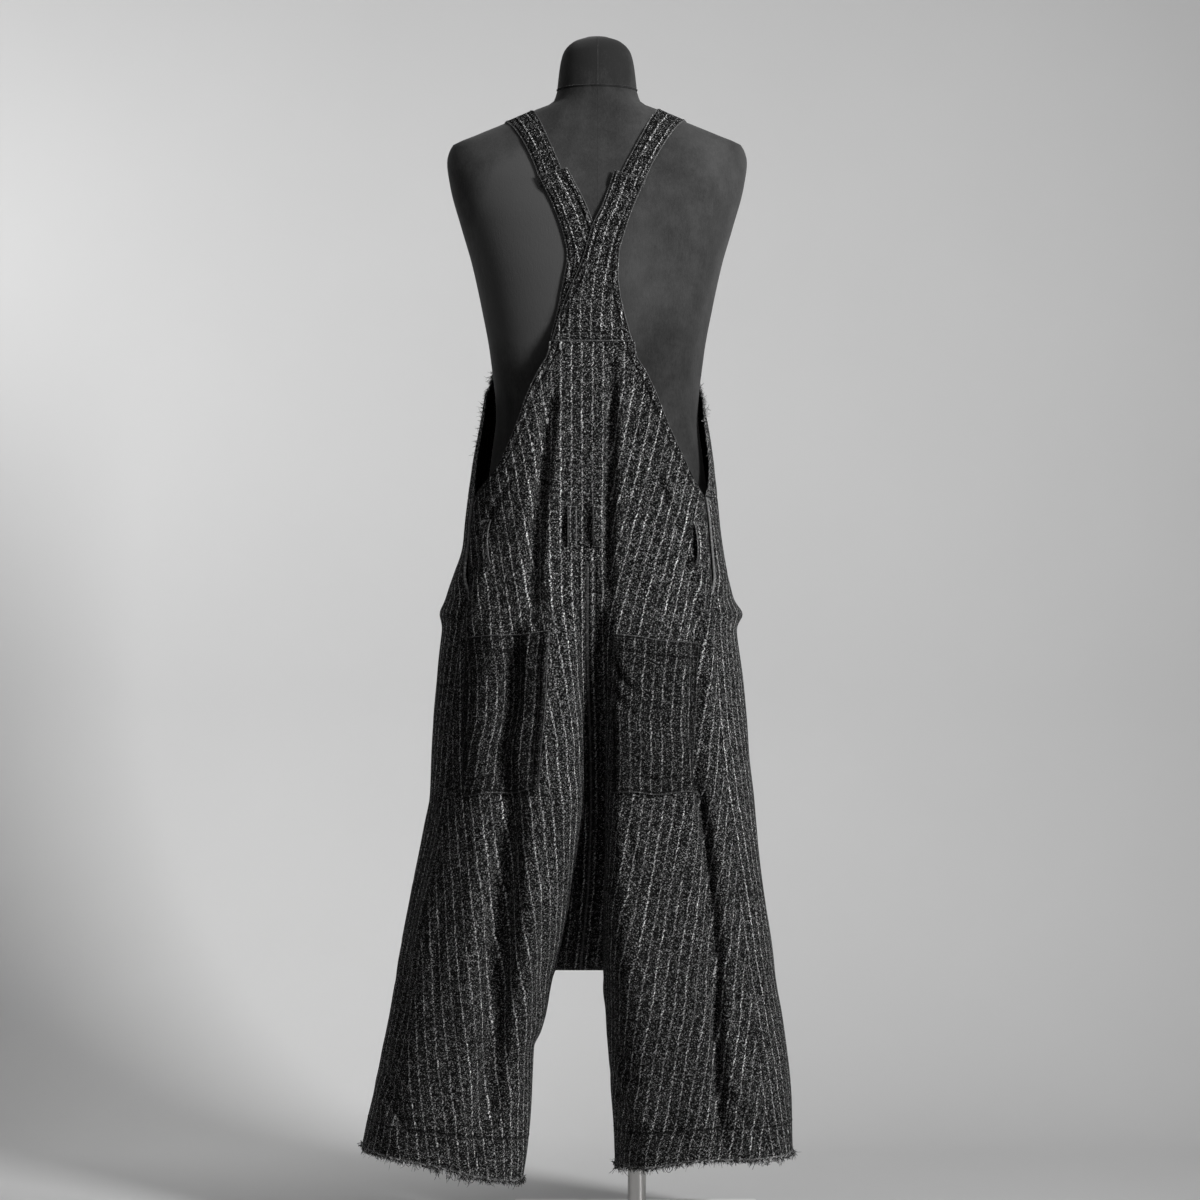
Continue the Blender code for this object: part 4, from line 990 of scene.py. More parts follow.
def pocket_place(side, u, v, above=0.0):
    """Points and normals on a pocket's outer face, which gapes a little at the top."""
    out, height = pocket_grid(side, u, v)
    inner = np.sin(pi * np.clip(u, 0, 1)) ** 0.6
    gape = POCKET_GAPE * np.exp(-((v / 0.16) ** 2)) * inner
    puff = POCKET_PUFF * np.sin(pi * np.clip(v, 0, 1)) ** 0.7 * inner
    return cloth(side, height, turn_at(side, height, out), ON_PANEL + gape + puff + CLOTH + above)


def make_pocket(side, name):
    """A patch made from the back panel's own points, moved out, with its edges turned under."""
    corners = POCKETS[side]
    wide, tall = corners[1].out - corners[0].out, corners[0].height - corners[3].height
    v, u = np.meshgrid(edged_shares(tall, 0.008, 60), edged_shares(wide, 0.008, 34), indexing="ij")
    points, normal = pocket_place(side, u, v)
    across, down = measured = spans(points)
    inward = np.minimum(np.minimum(u, 1 - u) * wide, (1 - v) * tall)
    turned = smoothstep(POCKET_EDGE + 0.001, POCKET_EDGE - 0.001, inward)
    facing = smoothstep(POCKET_TURNED + 0.001, POCKET_TURNED - 0.001, v * tall)
    points = points + (POCKET_HEM_LIFT * np.maximum(turned, facing))[..., None] * normal
    weave = columns(side * (across + 0.004), -down)
    return plain_skin(name, points, normal, measured, CLOTH, "tweed_pocket", weave)


# ---- belt loops ----
LOOP_CROWN = 0.0004  # how much fuller a loop is along its middle


def loop_place(loop, across, height):
    """Points and normals on a belt loop's outer face."""
    share = np.clip((height - loop.bottom) / (loop.top - loop.bottom), 0, 1)
    lift = ON_PANEL + LOOP_BOW * np.sin(pi * share) ** 0.8
    turn = turn_at(loop.side, height, loop.out + across * LOOP_WIDTH)
    return cloth(loop.side, height, turn, lift + LOOP_CLOTH)


def make_loop(loop):
    """A belt loop: a folded strip sewn down at its ends that stands off the panel between."""
    near = NEAR[:4] / LOOP_WIDTH
    u = np.concatenate([near, np.linspace(0.28, 0.72, 5), 1 - near[::-1]]) - 0.5
    heights = rows_between(loop.bottom, loop.top, 0.002)[::-1]
    height, across = np.meshgrid(heights, u, indexing="ij")
    points, normal = loop_place(loop, across, height)
    points = points + (LOOP_CROWN * np.cos(pi * across))[..., None] * normal
    wide, down = measured = spans(points)
    weave = columns(wide + 0.0075 + loop.out, -down)
    name = loop.name + "_strip"
    return plain_skin(name, points, normal, measured, LOOP_CLOTH, "tweed_edged", weave)


# ---- straps ----
HiddenEdge = namedtuple("HiddenEdge", "height x")
HIDDEN_EDGE = in_mm(  # the crease that the under strap's edge presses into the over strap
    HiddenEdge,
    (1205, -34),
    (1236, -27),
    (1254, -21.6),
    (1275, -18.9),
    (1298, -12.2),
    (1311, -9.5),
    (1328, -9.5),
    (1344, -14.9),
    (1372, -28),
)
LAP = 0.013  # how far a back strap's end laps over the shoulder strap
LAP_GAP = 0.0009  # and how far above it
BLEND = 0.055  # height over which a strap goes from the yoke to the form
PULL_IN = 0.0002  # what a taut shoulder strap is thinner by
ON_BIB = 0.0018  # how far into the bib's room a shoulder strap may reach
BACK_STRAPS = {  # its table, and how much of the other strap it lies over
    LEFT: (UNDER_STRAP, 0.0),
    RIGHT: (OVER_STRAP, 1.0),
}
BACK_COLUMNS = (0.045, 0.00732, 24)  # a back strap's width, first column and columns
SHOULDER_COLUMNS = (0.038, 0.00773333, 14)


def form_back(x, height):
    """Y of the form's back at a place on it."""
    wide, back, square = (along(TORSO, c, height) for c in ("half_width", "back", "square"))
    return back * np.maximum(1.0 - np.abs(x / wide) ** square, 0.0) ** (1.0 / square)


def inside_form(x, y, height):
    wide, square = (along(TORSO, c, height) for c in ("half_width", "square"))
    deep = np.where(y > 0, along(TORSO, "back", height), -along(TORSO, "front", height))
    within = np.abs(x / wide) ** square + np.abs(y / deep) ** square < 1.0
    return within & (height < TORSO[-1].height)


def yoke_back(x):
    """Y of the back panels' outer face at the yoke."""
    left, right = (ring(side, YOKE, turn_at(side, YOKE, side * x))[..., 1] for side in SIDES)
    return np.where(x > 0, left, right)


def bib_front(x, height):
    """Y just in front of the bib's outer face."""
    left, right = (
        ring(side, height, 2.0 - turn_at(side, height, np.abs(x)))[..., 1] for side in SIDES
    )
    return np.where(x > 0, left, right) - SEAM


def strap_base(x, height):
    """Y of the inner face of the under strap, which lies on the form and runs into the yoke."""
    on_form = form_back(x, height) + ON_FORM
    at_yoke = yoke_back(x) - CLOTH - STRAP_LIFT
    blend = smoothstep(YOKE + BLEND, YOKE, height)
    return np.maximum(on_form, on_form * (1 - blend) + at_yoke * blend)


def grid_normals(points, outward):
    """Normals of a grid from its own points, facing the way that outward does."""
    normal = unit(np.cross(np.gradient(points, axis=1), np.gradient(points, axis=0)))
    return normal * np.sign((normal * outward).sum(axis=-1, keepdims=True))


def back_strap_place(upper, share, row):
    """Points on a back strap's outer face, and its normals: share runs across it and row from
    the yoke to the join below the shoulder."""
    table, lifted = BACK_STRAPS[upper]
    height = table[0].height + (table[-1].height - table[0].height) * row
    x = along(table, "left", height) * (1 - share) + along(table, "right", height) * share
    inner_high = share if upper == LEFT else 1 - share
    height = height + STRAP_SLOPE * row**3 * inner_high
    lift = STRAP_LIFT * smoothstep(LIFT_TO, LIFT_FROM, height) * lifted
    end = table[-1].height + STRAP_SLOPE * inner_high
    lap = (STRAP_CLOTH + LAP_GAP) * smoothstep(end - LAP - 0.012, end - LAP, height)
    soft = 0.0010 * rumple(columns(x, height, 0 * x), 0.022, 11)
    inner = columns(x, strap_base(x, height) + lift + lap, height)
    normal = grid_normals(inner, np.array([0.0, 1.0, 0.0]))
    outer = inner + (STRAP_CLOTH + 0.5 * np.abs(soft))[..., None] * normal
    if lifted:
        past = along(HIDDEN_EDGE, "x", height) - x
        live = smoothstep(1.375, 1.345, height) * smoothstep(1.205, 1.225, height)
        groove = 0.0014 * np.exp(-((past / 0.0016) ** 2)) + 0.0012 * smoothstep(0.0, 0.004, past)
        ridge = 0.0010 * np.exp(-(((past - 0.0050) / 0.0024) ** 2))
        outer = outer - ((groove - ridge) * live)[..., None] * normal
    return outer, normal


def strap_skin(name, outer, normal, thick, shift, downward):
    """A strap, with its stripes this far from its middle."""
    across, down = measured = spans(outer)
    weave = columns(centred(across) + shift, downward * down)
    return plain_skin(name, outer, normal, measured, thick, "tweed_strap", weave)


def make_back_strap(name, upper):
    table = BACK_STRAPS[upper][0]
    length = table[-1].height - table[0].height
    levels = rows_between(0.0, length, 0.0030) / length
    shares = edged_shares(*BACK_COLUMNS)
    row, share = np.meshgrid(levels[::-1], shares, indexing="ij")
    outer, normal = back_strap_place(upper, share, row)
    return strap_skin(name, outer, normal, STRAP_CLOTH, 0.004 * upper, -1)


def shoulder_line(side, count, shares):
    """The underside of a strap pulled tight over the shoulder and the top of the bib."""
    table = SHOULDER_STRAPS[side]
    row, share = np.meshgrid(np.linspace(0.0, 1.0, count), shares, indexing="ij")
    join = BACK_STRAPS[side][0][-1].height - LAP + STRAP_SLOPE * (1 - share) / 2
    join_out = table[0].middle + share * table[0].half_width
    join_y = form_back(join_out, join) + ON_SHOULDER
    start = np.degrees(np.arctan2(join - SHOULDER_PIVOT, join_y))
    angle = start + (table[-1].angle - start) * row
    x = side * (along(table, "middle", angle) + share * along(table, "half_width", angle))
    y_way, z_way = np.cos(np.radians(angle)), np.sin(np.radians(angle))
    reach = np.full_like(x, 0.02)
    for _ in range(700):
        y, z = reach * y_way, SHOULDER_PIVOT + reach * z_way
        on_bib = (z < BIB_TOP + 0.002) & (y > bib_front(x, z) - ON_BIB) & (y < 0)
        reach = np.where(inside_form(x, y, z) | on_bib, reach + 0.0005, reach)
    free = reach + ON_SHOULDER
    for _ in range(400):
        y, z = free * y_way, free * z_way
        middle = np.hypot((y[:-2] + y[2:]) / 2, (z[:-2] + z[2:]) / 2)
        free[1:-1] = np.maximum(free[1:-1], middle)
    return columns(x, free * y_way, SHOULDER_PIVOT + free * z_way)


def smooth_rows(points, count):
    """The same surface with more rows, along a smooth curve through the ones it has."""
    at = np.linspace(0, len(points) - 1, count)
    i = np.clip(at.astype(int), 0, len(points) - 2)
    t = (at - i)[:, None, None]
    p0, p3 = points[np.maximum(i - 1, 0)], points[np.minimum(i + 2, len(points) - 1)]
    p1, p2 = points[i], points[i + 1]
    square, cube = 2 * p0 - 5 * p1 + 4 * p2 - p3, 3 * p1 - p0 - 3 * p2 + p3
    return 0.5 * (2 * p1 + (p2 - p0) * t + square * t**2 + cube * t**3)


def shoulder_band(side):
    """A shoulder strap's outer face and normals, on a fine grid."""
    coarse = shoulder_line(side, 25, np.linspace(-1.0, 1.0, 4))
    for _ in range(2):
        coarse[1:-1] = (coarse[:-2] + 2 * coarse[1:-1] + coarse[2:]) / 4
    fine = smooth_rows(coarse, 150)
    shares = edged_shares(*SHOULDER_COLUMNS)
    across = np.linspace(0.0, 1.0, fine.shape[1])
    inner = np.stack([read_off(shares, across, row) for row in fine])
    away = (inner - np.array([0.0, 0.0, SHOULDER_PIVOT])) * np.array([0.0, 1.0, 1.0])
    normal = grid_normals(inner, away)
    down = run_lengths(inner, 0)
    soft = 0.0007 * np.abs(rumple(columns(inner[..., 0], down, 0 * down), 0.018, 17))
    return inner + (STRAP_CLOTH - PULL_IN + soft)[..., None] * normal, normal


# ---- tubes: sewing thread, loose yarn and seams ----
def tube_faces(count, sides, first=0):
    """The faces of a closed tube whose rings' points are numbered one ring after the other."""
    a = first + np.arange((count - 1) * sides).reshape(-1, sides)
    b = np.roll(a, -1, axis=1)
    bands = columns(a, b, b + sides, a + sides).reshape(-1, 4)
    return [*bands.tolist(), a[0][::-1].tolist(), (a[-1] + sides).tolist()]


class Tubes:
    """Tubes gathered into one mesh, each with one of its looks."""

    def __init__(self):
        self.points, self.faces, self.looks, self.count = [], [], [], 0

    def add(self, rings, look=0):
        """Adds a tube from the rings of its points."""
        faces = tube_faces(*rings.shape[:2], self.count)
        self.points.append(rings.reshape(-1, 3))
        self.faces += faces
        self.looks += [look] * len(faces)
        self.count += rings[..., 0].size

    def make(self, name, slot, *looks, smooth_angle=80):
        points = np.concatenate(self.points)
        thing = new_object(name, points, self.faces, looks, smooth_angle=smooth_angle)
        thing.data.polygons.foreach_set("material_index", np.array(self.looks, np.int32))
        thing.data.update()
        return thing


def angles(sides, first=0.0):
    return 2 * pi * (np.arange(sides) + first) / sides


class Sewing(Tubes):
    """Rows of stitches: each is a short flattened tube whose ends dive into the cloth."""

    # a stitch's rings: how far along it, how wide and how high, as shares
    RINGS = (
        (0.0, 0.35, -0.6), (0.14, 0.95, 0.1), (0.5, 1.0, 0.55), (0.86, 0.95, 0.1), (1.0, 0.35, -0.6)
    )

    def __init__(self, radius=0.00038, length=0.0031, gap=0.0011):
        super().__init__()
        self.radius, self.length, self.gap = radius, length, gap

    def row(self, points, normals, shift=0.0):
        """A row of stitches along a line of points on the cloth."""
        arc = run_lengths(points, 0)
        around = angles(4, 0.5)[:, None]
        for start in np.arange(shift, arc[-1] - self.length, self.length + self.gap):
            first, last = read_off(np.array([start, start + self.length]), arc, points)
            normal = unit(read_off(start + self.length / 2, arc, normals))
            across = unit(np.cross(last - first, normal))
            spread = np.cos(around) * across + np.sin(around) * normal
            self.add(np.stack([
                read_off(start + share * self.length, arc, points)
                + rise * self.radius * normal + wide * self.radius * spread
                for share, wide, rise in self.RINGS
            ]))


PALE, DARK = 0, 1  # looks of loose yarn
DOWN = np.array([0.0, 0.0, -1.0])


class Yarns(Tubes):
    """Loose threads as thin tubes."""

    def __init__(self, seed):
        super().__init__()
        self.random = np.random.default_rng(seed)

    def tube(self, line, radius, look, sides=4):
        step = unit(np.gradient(line, axis=0))
        guide = np.where(np.abs(step[:, :1]) < 0.8, [[1.0, 0.0, 0.0]], [[0.0, 1.0, 0.0]])
        across = unit(np.cross(step, guide))[:, None]
        over = np.cross(step, across[:, 0])[:, None]
        radii = np.broadcast_to(radius, len(line))[:, None, None]
        a = angles(sides)[None, :, None]
        self.add(line[:, None] + radii * (np.cos(a) * across + np.sin(a) * over), look)

    def strand(self, root, way, length, radius, look, curl, segments=5):
        """A loose thread that sets off one way, curls and hangs."""
        bend = self.random.normal(0, curl, (2, 3))
        line, way = [root], unit(way)
        for t in np.arange(1, segments + 1) / segments:
            turned = unit(way + bend[0] * t + bend[1] * t * t + 0.25 * t * DOWN)
            line.append(line[-1] + turned * length / segments)
        self.tube(np.array(line), radius * np.linspace(1.0, 0.55, segments + 1), look, 3)


# ---- rows of stitches ----
HEM_ROW = 0.0450  # each row's distance from the edge that it follows
FREE_ROWS = (0.0112, 0.0022)
CLOSED_ROW = 0.0045
STRAP_ROWS = (0.0020, 0.0095)
POCKET_BAR = 0.06  # share of a pocket's width that the bars at its top corners take
BAR_ROWS = 4
SPACING = 0.004  # of the places that a row on a panel is drawn through


def rows_on_panel(side, face, heights, samples):
    """The turns of a panel's rows at these heights, with how far along them each lies."""
    return measured_rows(side, face, heights, *panel_edges(side, face, heights), samples)


def line_on_panel(side, heights, inset):
    """A line on a back panel at a distance in from its side edge."""
    turn, arc = rows_on_panel(side, 1, heights, 160)
    picked = at_distances(turn, arc, arc[:, -1:] - inset)
    return [grid[:, 0] for grid in cloth(side, hem_drop(side, heights[:, None], picked), picked)]


def line_round_hem(side, face, above):
    """A line along a panel, this far above its hem."""
    heights = np.array([HEM + above])
    turn, _ = rows_on_panel(side, face, heights, 160)
    return [grid[0] for grid in cloth(side, hem_drop(side, heights[:, None], turn), turn)]


def line_on_pocket(side, start, end, count):
    """A line on a pocket between two places given across and down it."""
    u, v = (np.linspace(0, 1, count) * (b - a) + a for a, b in zip(start, end))
    return [grid[0] for grid in pocket_place(side, u[None, :], v[None, :], POCKET_HEM_LIFT)]


def sew_panels():
    thread = Sewing()
    for side in SIDES:
        free = np.arange(FREE_EDGE + SPACING, YOKE - 2 * SPACING, SPACING)
        for inset, shift in zip(FREE_ROWS, (0.0, 0.002)):
            thread.row(*line_on_panel(side, free, inset), shift)
        closed = np.arange(SLIT_END - 0.03, FREE_EDGE + SPACING, SPACING)
        thread.row(*line_on_panel(side, closed, CLOSED_ROW))
        for face in (1, -1):
            thread.row(*line_round_hem(side, face, HEM_ROW))
    return thread.make("stitching_panels", "tweed", "thread")


def sew_pockets():
    thread = Sewing()
    u, low, u2, low2 = 0.028, 0.979, 0.09, 0.949
    lines = (  # from a place to a place, across and down, with how many points and a shift
        ((u, 0.004), (u, low), 120, 0.0),
        ((u, low), (1 - u, low), 60, 0.0),
        ((1 - u, 0.004), (1 - u, low), 120, 0.0),
        ((u, 0.098), (1 - u, 0.098), 60, 0.0),
        ((u2, 0.10), (u2, low2), 120, 0.0015),
        ((1 - u2, 0.10), (1 - u2, low2), 120, 0.0015),
        ((u2, low2), (1 - u2, low2), 60, 0.0015),
    )
    for side in SIDES:
        for start, end, count, shift in lines:
            thread.row(*line_on_pocket(side, start, end, count), shift)
        for start in (u, 1 - u - POCKET_BAR):
            for v in 0.006 + np.linspace(0.0, 0.010, BAR_ROWS):
                thread.row(*line_on_pocket(side, (start, v), (start + POCKET_BAR, v), 8))
    return thread.make("stitching_pockets", "tweed", "thread")


def sew_loops():
    thread = Sewing(0.00032, 0.0022, 0.0003)
    for loop in LOOPS:
        for end, way in ((loop.bottom, 1), (loop.top, -1)):
            for k in range(BAR_ROWS):
                across = np.linspace(-0.42, 0.42, 12)[None, :]
                height = np.full_like(across, end + way * (0.0022 + 0.0009 * k))
                points, normal = loop_place(loop, across, height)
                thread.row(points[0], normal[0], 0.0006 * (k % 2))
    return thread.make("stitching_loops", "tweed", "thread")


def sew_straps(shoulders):
    thread = Sewing()
    for upper in SIDES:
        row, share = np.meshgrid(np.linspace(0.02, 0.995, 90), np.linspace(0, 1, 41), indexing="ij")
        outer, normal = back_strap_place(upper, share, row)
        across = run_lengths(outer, 1)
        width = across[:, -1]
        for inset in STRAP_ROWS:
            for distance in (inset + 0 * width, width - inset):
                lines = [
                    np.stack([read_off(*one) for one in zip(distance, across, grid)])
                    for grid in (outer, normal)
                ]
                thread.row(*lines, 0.001)
        for r in (-2, -7, 1, 6):
            thread.row(outer[r, 1:-1], normal[r, 1:-1])
    for outer, normal in shoulders:
        for column in (3, outer.shape[1] - 4):
            thread.row(outer[8:, column], normal[8:, column])
        for r in (-4, -9):
            thread.row(outer[r, 3:-3], normal[r, 3:-3])
    return thread.make("stitching_straps", "tweed", "thread")


# ---- frayed edges ----
HEM_THREADS, HEM_TANGLES, TANGLE_THREADS, BIB_THREADS = 1500, 150, 7, 1100
YARN = 0.00048  # radius of a yarn pulled loose along a hem
LONGEST_THREAD = 0.019


def hem_line(side, count):
    """Points all round a leg's hem on the middle of the cloth, and the normals there."""
    level = np.array([HEM])
    back, front = (rows_on_panel(side, face, level, 400)[0][0] for face in (1, -1))
    turn = np.concatenate([back, front[::-1]])[None, :]
    points, normal = cloth(side, hem_drop(side, level[:, None], turn), turn)
    points = points[0] - CLOTH / 2 * normal[0]
    arc = run_lengths(points, 0)
    at = np.linspace(0, arc[-1], count)
    return read_off(at, arc, points), read_off(at, arc, normal[0])


def thread_loop(yarns, start, end, sag, sideways):
    """A pulled thread that hangs in a loop between two places."""
    t = np.linspace(0, 1, 28)[:, None]
    line = start * (1 - t) + end * t + sag * DOWN * (4 * t * (1 - t)) ** 0.45
    yarns.tube(line + sideways * np.sin(pi * t), 0.00036, DARK)


def make_hem_fray(side, name):
    """The frayed hem: yarns pulled loose along it, threads that hang from it, and tangles."""
    yarns = Yarns(51 if side == LEFT else 52)
    random = yarns.random
    points, normal = hem_line(side, 900)
    for k in range(3):
        phase = np.arange(len(points)) * (0.42 + 0.07 * k) + 2.1 * k
        wander = 0.0009 * rumple(points, 0.012, 30 + k)
        drop = 0.0006 + 0.0006 * k - 0.0009 * np.sin(phase) - wander
        off = 0.0007 * np.cos(phase) + 0.0006 * rumple(points, 0.009, 40 + k)
        thick = YARN * (1 + 0.45 * rumple(points, 0.006, 60 + k))
        line = points + drop[:, None] * DOWN + off[:, None] * normal
        yarns.tube(line, thick if k else 1.25 * thick, DARK if k else PALE)
    tangle = np.clip(rumple(points, 0.030, 71) * 1.6 + 0.1, 0.0, 1.0)
    for _ in range(HEM_THREADS):
        i = int(random.integers(len(points)))
        dense = tangle[i]
        look = PALE if random.random() < 0.22 - 0.12 * dense else DARK
        reach = np.clip(random.lognormal(-5.35 + 0.60 * dense, 0.45), 0.0015, LONGEST_THREAD)
        root = points[i] + 0.0008 * random.random() * DOWN + random.normal(0, 0.0006) * normal[i]
        way = DOWN + random.normal(0, 0.45, 3) * np.array([1, 1, 0.3])
        yarns.strand(root, way, reach, random.uniform(0.00022, 0.00052), look, 0.60)
    for _ in range(HEM_TANGLES):
        i = int(random.integers(len(points)))
        centre = points[i] + random.uniform(0.0015, 0.0035 + 0.0065 * tangle[i]) * DOWN
        for k in range(TANGLE_THREADS):
            start, way = centre + random.normal(0, 0.0014, 3), random.normal(0, 1, 3)
            look = DARK if k else PALE
            yarns.strand(start, way, random.uniform(0.003, 0.007), 0.00052, look, 1.4)
    outermost = int(np.argmax(side * points[:, 0]))
    if side == LEFT:
        sideways = np.array([0.003, 0.002, 0])
        thread_loop(yarns, points[outermost - 4], points[outermost - 22], 0.015, sideways)
    third = outermost // 3
    thread_loop(yarns, points[third], points[third + 14], 0.010, np.zeros(3))
    return yarns.make(name, "fringe", "pale_yarn", "dark_yarn")


def make_bib_fray():
    """The bib's raw side edges: threads that stand out of the cut."""
    yarns = Yarns(77)
    random = yarns.random
    heights = np.linspace(WAIST + 0.002, BIB_TOP - 0.01, 420)[:, None]
    for share, way in ((0.0, 1.0), (1.0, -1.0)):
        grids = across_sides(heights, np.full_like(heights, share))
        points, normal = (grid[:, 0] for grid in grids)
        points = points - CLOTH / 2 * normal
        tuft = np.clip(rumple(points, 0.025, 83 + int(way)) + 0.25, 0.1, 1.0)
        for k in (PALE, DARK):
            phase = np.arange(len(points)) * 0.5 + 2.6 * k
            line = points + 0.0006 * np.cos(phase)[:, None] * normal
            line[:, 0] += way * (0.0003 + 0.0006 * np.sin(phase))
            yarns.tube(line, 0.0004 * (1 + 0.4 * rumple(points, 0.006, 90 + k)), k, 5)
        for _ in range(BIB_THREADS):
            i = int(random.integers(len(points)))
            reach = np.clip(random.lognormal(-5.60, 0.5) * (0.5 + tuft[i]), 0.001, 0.012)
            out = np.array([way, 0.25, 0.0]) + random.normal(0, 0.5, 3)
            look = PALE if random.random() < 0.35 else DARK
            yarns.strand(points[i], out, reach, random.uniform(0.00018, 0.00042), look, 0.8)
    return yarns.make("bib_raw_edges", "fringe", "pale_yarn", "dark_yarn")


# ---- the dress form and its stand ----
FORM_FACETS = 192
ROW_GAP = 0.006  # between the form's rows


def sections_mesh(name, table, heights):
    """A closed solid through the form's sections."""
    wide, front, back, square = (
        along(table, c, heights)[:, None] for c in ("half_width", "front", "back", "square")
    )
    c, s = np.cos(angles(FORM_FACETS)), np.sin(angles(FORM_FACETS))
    x = wide * np.sign(c) * np.abs(c) ** (2 / square)
    y = np.where(s > 0, back, -front) * np.sign(s) * np.abs(s) ** (2 / square)
    points = columns(x, y, heights[:, None] + 0 * x).reshape(-1, 3)
    faces = tube_faces(len(heights), FORM_FACETS)
    return new_object(name, points, faces, ["form_jersey"], smooth_angle=50)


def make_form():
    torso = sections_mesh("form_body", TORSO, np.concatenate([
        [0.8, 0.8004, 0.8012, 0.803], np.arange(0.806, 1.5625, ROW_GAP), [1.5628, 1.5634, 1.5637]
    ]))
    crown = 1.633 + 0.006 * np.sin(np.linspace(0, 1, 12) * pi / 2)
    cap = sections_mesh("form_cap", NECK_CAP, np.concatenate([
        [1.5643, 1.5647, 1.5655], np.arange(1.568, 1.633, 0.0035), crown
    ]))
    return torso, cap


def make_form_seams():
    """The form's seams: a tape round the neck cap's foot and fine ridges up the back and front."""
    yarns = Yarns(5)
    angle = np.linspace(0, 2 * pi, 181)
    foot, reach = 1.5660, 0.00025
    wide, front, back = (float(along(NECK_CAP, c, foot)) for c in ("half_width", "front", "back"))
    y = np.where(np.sin(angle) > 0, back, -front) * np.sin(angle)
    tape = columns(wide * np.cos(angle), y, foot + 0 * y)
    yarns.tube(tape * np.array([1 + reach / wide, 1 + reach / back, 1]), 0.00075, DARK, 8)
    cap, body = np.linspace(1.5665, 1.6355, 40), np.linspace(1.30, 1.5625, 80)
    for table, column, heights, off, radius, look in (
        (NECK_CAP, "back", cap, 0.0001, 0.00045, PALE),
        (NECK_CAP, "front", cap, -0.0001, 0.00045, PALE),
        (TORSO, "back", body, -0.0002, 0.0004, DARK),
    ):
        y = along(table, column, heights) + off
        yarns.tube(columns(0 * y - 0.001, y, heights), radius, look, 6)
    return yarns.make("form_seams", "form_cloth", "form_tape", "form_jersey")


def turned_rings(profile, sides, centre=(0.0, 0.0, 0.0)):
    """The rings of a turned solid, from a profile of radii and heights."""
    radius, rise = np.array(profile).T[..., None]
    a = angles(sides)
    rings = [radius * np.cos(a), radius * np.sin(a), rise + 0 * a]
    return np.stack(rings, axis=-1) + np.array(centre)


def lathe(name, profile, centre, look, sides=96):
    """A turned solid, closed at both ends."""
    points = turned_rings(profile, sides, centre).reshape(-1, 3)
    return new_object(name, points, tube_faces(len(profile), sides), [look], smooth_angle=35)


def bevelled(radius, low, high, bevel, steps=4):
    """A disc's profile with rounded edges."""
    a = np.linspace(0, pi / 2, steps)
    bottom = [(radius - bevel + bevel * sin(t), low + bevel - bevel * cos(t)) for t in a]
    top = [(radius - bevel + bevel * cos(t), high - bevel + bevel * sin(t)) for t in a]
    return bottom + top


WELD = 0.0045  # size of the bead round the pole's foot
SCREW = (  # profile of a countersunk screw's head, from its recess out
    (0.0012, 0.0), (0.0014, -0.0010), (0.0024, -0.0010), (0.0032, -0.0006), (0.0034, 0.0002),
)


def make_stand():
    """The pole with the weld round its foot, and the socket with four screws in its flange."""
    low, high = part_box("stand_pole")
    middle, radius = (low + high) / 2, (high.x - low.x) / 2
    axis = (middle.x, middle.y, 0)
    pole = lathe("pole", bevelled(radius, low.z, high.z, 0.0005, 3), axis, "satin_steel")
    foot = low.z - SEAM
    bead = [(radius + 0.0002, foot)] + [
        (radius + SEAM + WELD * (1 - sin(t)), foot + WELD * (1 - cos(t)))
        for t in np.linspace(0, pi / 2, 6)
    ]
    weld = lathe("pole_weld", bead, axis, "satin_steel", 72)
    low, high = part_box("form_socket")
    radius = (high.x - low.x) / 2
    socket = lathe("socket", bevelled(radius, low.z, high.z, 0.0015), axis, "satin_steel")
    screws = Tubes()
    for a in angles(4, 0.5):
        reach = radius * 0.72
        centre = (middle.x + reach * cos(a), middle.y + reach * sin(a), low.z)
        screws.add(turned_rings(SCREW, 24, centre))
    screws.make("socket_screws", "steel", "satin_steel", smooth_angle=35)
    return pole, socket


def make_base():
    """The steel foot, with rounded corners and edges."""
    low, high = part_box("stand_base")
    work = bmesh.new()
    bmesh.ops.create_cube(work, size=1.0)
    bmesh.ops.scale(work, vec=high - low, verts=work.verts)
    bmesh.ops.translate(work, vec=(low + high) / 2, verts=work.verts)
    rise = lambda edge: abs(edge.verts[0].co.z - edge.verts[1].co.z)
    upright = [e for e in work.edges if rise(e) > 1e-4]
    bmesh.ops.bevel(work, geom=upright, offset=0.004, segments=6, affect="EDGES", profile=0.5)
    level = [e for e in work.edges if rise(e) < 1e-5 and len(e.link_faces) == 2]
    outer = [e for e in level if abs(e.calc_face_angle(0.0)) > 0.5]
    bmesh.ops.bevel(work, geom=outer, offset=0.0012, segments=3, affect="EDGES", profile=0.5)
    mesh = bpy.data.meshes.new("foot")
    work.to_mesh(mesh)
    work.free()
    return shown("foot", mesh, ["foot_paint"], 35)


# ---- buttons ----
HOLE_REACH, HOLE_RADIUS = 0.0023, 0.00095
BUTTON_DISH = 0.67  # height of the dished face, as a share of the thickness
BUTTON_PROFILE = (  # shares of the radius and of the thickness
    (0.30, 0.0), (0.90, 0.0), (0.97, 0.12), (1.0, 0.35), (1.0, 0.62), (0.985, 0.85),
    (0.94, 0.97), (0.87, 1.0), (0.80, 0.95), (0.70, 0.78), (0.58, 0.70), (0.30, BUTTON_DISH),
)


